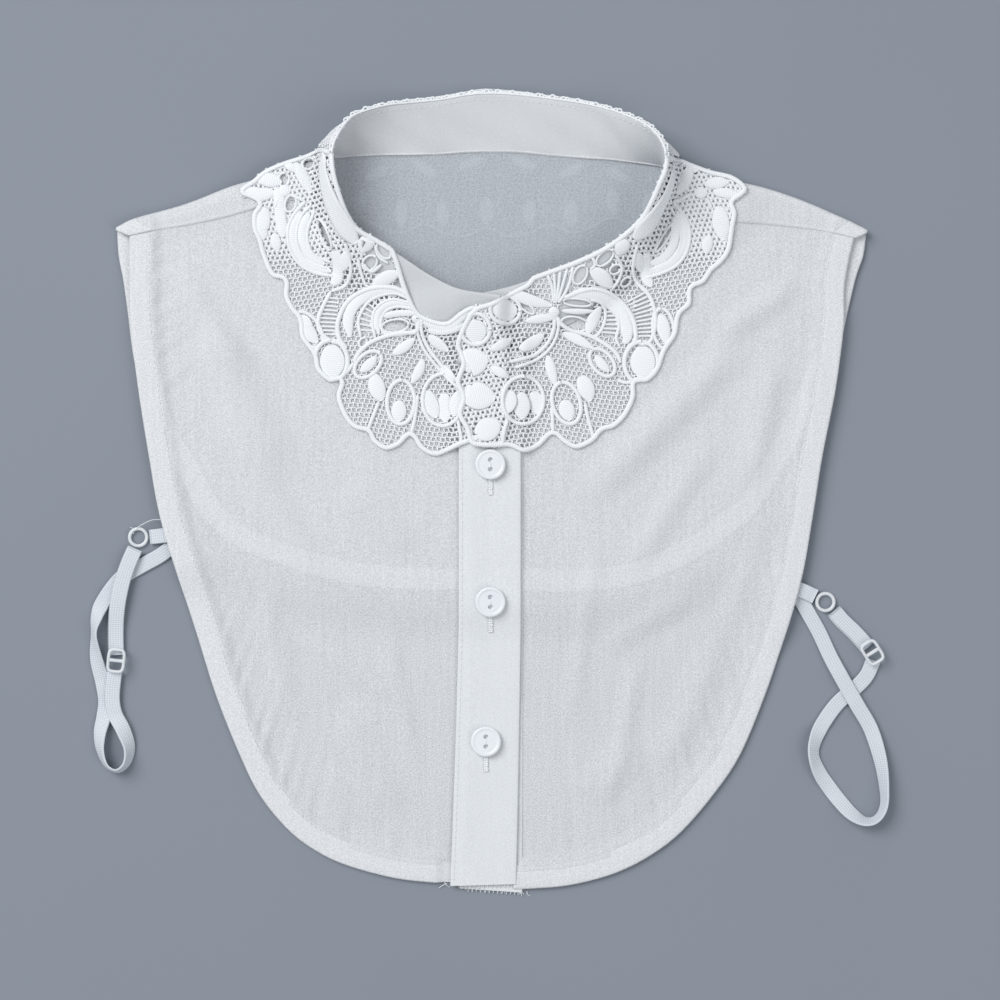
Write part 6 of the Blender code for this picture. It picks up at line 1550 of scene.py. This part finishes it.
# %% Thread and worked buttonholes, then all three buttons
def sewing_thread(x, y, base):
    """Two strands from hole to hole: each comes up at a hole's inner edge and arches a little."""
    parts = []
    for shift in (-0.13, 0.13):
        share = np.linspace(0, 1, 9)
        centre = np.column_stack([x + shift + 0.3 * (share - 0.5), y + (share - 0.5) * (HOLE_SPACING - 1.3),
                                  base + BUTTON_DISH - 0.4 + 0.48 * np.sin(math.pi * share) ** 0.4])
        parts.append(even_sweep(centre, upward(9), 0.14, 0.14))
    return parts


def worked_buttonhole(x, y, half_length):
    """Two rows of short crosswise stitches on the placket that meet along the middle, as small bumps."""
    parts = []
    rows = np.arange(-half_length, half_length + 0.01, 0.75)
    for sign in (1, -1):
        for index, along_y in enumerate(rows):
            share = np.linspace(0, 1, 5)
            wobble = 0.08 * math.sin(index * 2.4 + sign)
            px = x + sign * (0.95 + 0.12 * math.sin(index * 1.7)) * share
            py = y + along_y + wobble * share
            base = front_bed(np.column_stack([px, py])) + 2 * LAYER - 0.02
            centre = np.column_stack([px, py, base + 0.1 * np.sin(math.pi * share)])
            parts.append(even_sweep(centre, upward(5), 0.42, 0.2))
    return parts


for number, (x, y) in enumerate(BUTTONS, start=1):
    points, quads, uv, base = button_surface(x, y)
    piece = make_piece("button_%d_resin" % number, points, quads, uv, [resin])
    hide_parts("button_%d" % number)
    make_piece("button_%d_thread" % number,
               *join(sewing_thread(x, y, base) + worked_buttonhole(x, y - HOLE_SHIFT, HOLE_REACH)), [guipure])

# %% [markdown]
# ## Stitching
#
# A row of machine stitches is one small spindle, repeated. Each lies on the cloth's surface and
# follows the hem, a fixed distance from the edge.

# %% Rows of stitches
STITCH_LENGTH, STITCH_GAP, STITCH_RADIUS = 1.7, 0.8, 0.14
COLLAR_STITCHES = 0.9   # share of the collar's height at which its stitches run


def stitch_row(line):
    """Spindles along a line in space: two points and a ring of four between them, all at once."""
    run = run_of(line)
    starts = np.arange(0.5, run[-1] - STITCH_LENGTH, STITCH_LENGTH + STITCH_GAP)
    ends = np.stack([np.column_stack([np.interp(starts + shift, run, column) for column in line.T])
                     for shift in (0.0, STITCH_LENGTH)], axis=1)
    return bar_net(ends, upward(len(ends), 2), STITCH_RADIUS)


rows = []
for edge, turn in ((LEFT_EDGE, 1), (RIGHT_EDGE, -1)):
    seam = side_step(along(edge, 500), turn * (HEM - STITCH_INSET))
    if turn > 0:
        seam = seam[seam[:, 0] < PLACKET_LEFT - 1]
    height = front_middle(seam, edge) + CHIFFON / 2 - 0.14
    rows.append(stitch_row(np.column_stack([seam, height + 0.05])))
rows.append(stitch_row(along(top_left, 400)[80:] + [1.5, 0, 0.54]))
run = run_of((SEAM_RAIL + top_rail) / 2)[:, None]
across = top_rail - SEAM_RAIL
inward = unit(np.cross(np.gradient((SEAM_RAIL + top_rail) / 2, axis=0), across))
stitch_lift = collar_pucker(run, np.array([[COLLAR_STITCHES]])) + COLLAR_WALL / 2 + 0.02
on_collar = SEAM_RAIL + COLLAR_STITCHES * across + inward * stitch_lift
rows.append(stitch_row(on_collar[LEFT_NECK + 12:RIGHT_NECK - 10]))
make_piece("stitching", *join(rows), [guipure])

# %% Rolled edge of the neck seam, behind
roll = (SEAM_RAIL + 0.035 * across + inward * 0.5)[LEFT_NECK + 4:RIGHT_NECK - 3]
wander = 0.42 + 0.08 * np.sin(run_of(roll) / 4.1) + 0.06 * np.sin(run_of(roll) / 1.9)
make_piece("neck_seam_roll", *sweep(roll, upward(len(roll)), wander, wander, 8), [chiffon_hem])

# %% Threads that hang loose: at the placket's raw end and at the left tab
LOOSE_THREADS = [
    # x, y, height along each
    [(-21.6, -166.3, 0.3), (-20.4, -165.4, 0.4), (-18.3, -164.2, 1.6)],
    [(-19.4, -163.6, 1.9), (-18.4, -165, 1.2), (-17.2, -166, 0.4)],
    [(12, -164.4, 1.8), (12.2, -166.6, 1.2), (13.2, -169.7, 0.3)],
    [(12.6, -163.8, 1.8), (13.2, -166, 1.2), (12.6, -168.8, 0.3)],
    [(11.2, -164.6, 1.8), (12.4, -167, 1), (14, -168.9, 0.3)],
    [(15.3, -167.6, 0.3), (15.5, -168.8, 0.5), (16.6, -169.7, 0.2)],
    [(-137, -11.6, 1.9), (-142.2, -11.8, 1.6), (-147.2, -14.3, 1.7), (-148.9, -16, 1.5)],
    [(-151.4, -14.7, 0.5), (-150.2, -15.4, 0.9), (-150.8, -16.8, 0.5), (-149.6, -17.4, 1.3)]]
FRAY_PITCH = 0.55       # mm between the short threads at a raw end
RAW_ENDS = [(-13.2, 12.6, -165.1, -164.4, 1.8), (-10.6, 13.4, -166.3, -168.0, 0.5)]
for left, right, y_left, y_right, high in RAW_ENDS:     # x of both corners, y of both, height
    for index, x in enumerate(np.arange(left, right, FRAY_PITCH)):
        y = y_left + (y_right - y_left) * (x - left) / (right - left)
        reach, lean = 0.9 + 0.6 * math.sin(index * 2.4), 0.5 * math.sin(index * 1.9)
        LOOSE_THREADS.append([(x, y + 0.4, high), (x + lean / 2, y - reach / 2, high - 0.1),
                              (x + lean, y - reach, high - 0.3)])
lines = [spline(points, 0.4) for points in LOOSE_THREADS]
make_piece("loose_threads", *join([even_sweep(line, upward(len(line)), 0.15, 0.15, 4) for line in lines]),
           [guipure])

# %% [markdown]
# ## Sheets of cloth
#
# Every piece of cloth is listed with the size that it was cut to, and the area of one side of each is
# printed.

def print_area(piece):
    """Print the area of one side of a piece: half of its closed surface, from the finished mesh."""
    graph = bpy.context.evaluated_depsgraph_get()
    mesh = piece.evaluated_get(graph).to_mesh()
    total = sum(polygon.area for polygon in mesh.polygons) / 2
    triangles = sum(len(polygon.vertices) - 2 for polygon in mesh.polygons)
    print(piece.name, "one side, m2:", round(total, 5), "triangles:", triangles)
    piece.evaluated_get(graph).to_mesh_clear()


CUTS = [
    # piece, flat width and length in metres, area in m2 where the cut isn't a rectangle, how it lies,
    # what it lies on, and pieces that go with it
    (front_left, (0.150, 0.300), 0.034, "laid", ["back_cloth"],
     [straps["tab_left"], straps["strap_short_left"], straps["strap_loop_left"]]),
    (front_right, (0.150, 0.300), 0.034, "laid", ["back_cloth"],
     [straps["tab_right"], straps["strap_short_right"], straps["strap_loop_right"]]),
    (back, (0.330, 0.215), 0.0545, "folded", ["table_top", "lace_back_thread"], []),
    (collar, (0.395, 0.0225), None, "folded", ["back_cloth"], []),
    (placket, (0.0263, 0.2244), None, "laid", ["button_stand_cloth"], []),
    (stand, (0.0244, 0.2260), None, "laid", ["front_right_cloth"], []),
    (lace_left, (0.175, 0.080), spread_area(LEFT_RING), "laid", ["front_left_cloth", "neck_band_cloth"],
     [motifs_left]),
    (lace_right, (0.175, 0.080), spread_area(RIGHT_RING), "laid", ["front_right_cloth", "neck_band_cloth"],
     [motifs_right]),
    (lace_back, (0.200, 0.080), 0.0105, "laid", ["table_top"], [])]
for piece, flat, area, held, rests_on, on_it in CUTS:
    print_area(piece)

# %% [markdown]
# ## Table, light and camera
#
# The collar lies on a plain grey-blue table under one large soft light from the upper left, with a
# weak fill. The camera looks straight down through a long lens.

# %% Table: a matt sheet of card, a little uneven in tone
TABLE_REACH, TABLE_TOP = 3.0, -0.0003       # metres; just below the underside of the collar
card = make_cloudy("matt_card", "868D97", 0.9, "848B95", "888F99", {"Scale": 6.0, "Detail": 1.0})
mesh = bpy.data.meshes.new("table_top")
mesh.from_pydata([(x * TABLE_REACH, y * TABLE_REACH, TABLE_TOP)
                  for x, y in ((-1, -1), (1, -1), (1, 1), (-1, 1))], [], [(0, 1, 2, 3)])
mesh.materials.append(card)
table = add_object("table_top", mesh)

# %% Light
def area_light(name, place, aim, size, power, colour):
    """Square soft light at a place, turned so that its face looks at the aim."""
    light = bpy.data.lights.new(name, "AREA")
    light.size, light.energy, light.color = size, power, linear(colour)[:3]
    lamp = add_object(name, light)
    lamp.location = place
    x, y, z = np.array(aim) - np.array(place)
    lamp.rotation_euler = (math.atan2(math.hypot(x, y), -z), 0.0, math.atan2(-x, y))


area_light("window", (-1.5, 1.2, 2.0), (0, 0, 0), 1.7, 58.5, "FFFFFF")
area_light("fill", (1.5, -1.0, 1.8), (0, 0, 0), 1.6, 15.0, "FFFFFF")
world = bpy.data.worlds.new("studio")
world.use_nodes = True
world.node_tree.nodes["Background"].inputs["Color"].default_value = linear("F2F5FA")
world.node_tree.nodes["Background"].inputs["Strength"].default_value = 0.45
bpy.context.scene.world = world
bpy.context.scene.view_settings.view_transform = "Standard"     # whites stay white, without a film curve

# %% Camera
CAMERA_DISTANCE = 1.167
camera_data = bpy.data.cameras.new("camera")
camera_data.lens, camera_data.sensor_width = 100.0, 36.0
camera_data.clip_start = 0.01
camera = add_object("camera", camera_data)
camera.location = (0.00472, -0.00398, CAMERA_DISTANCE)
bpy.context.scene.camera = camera
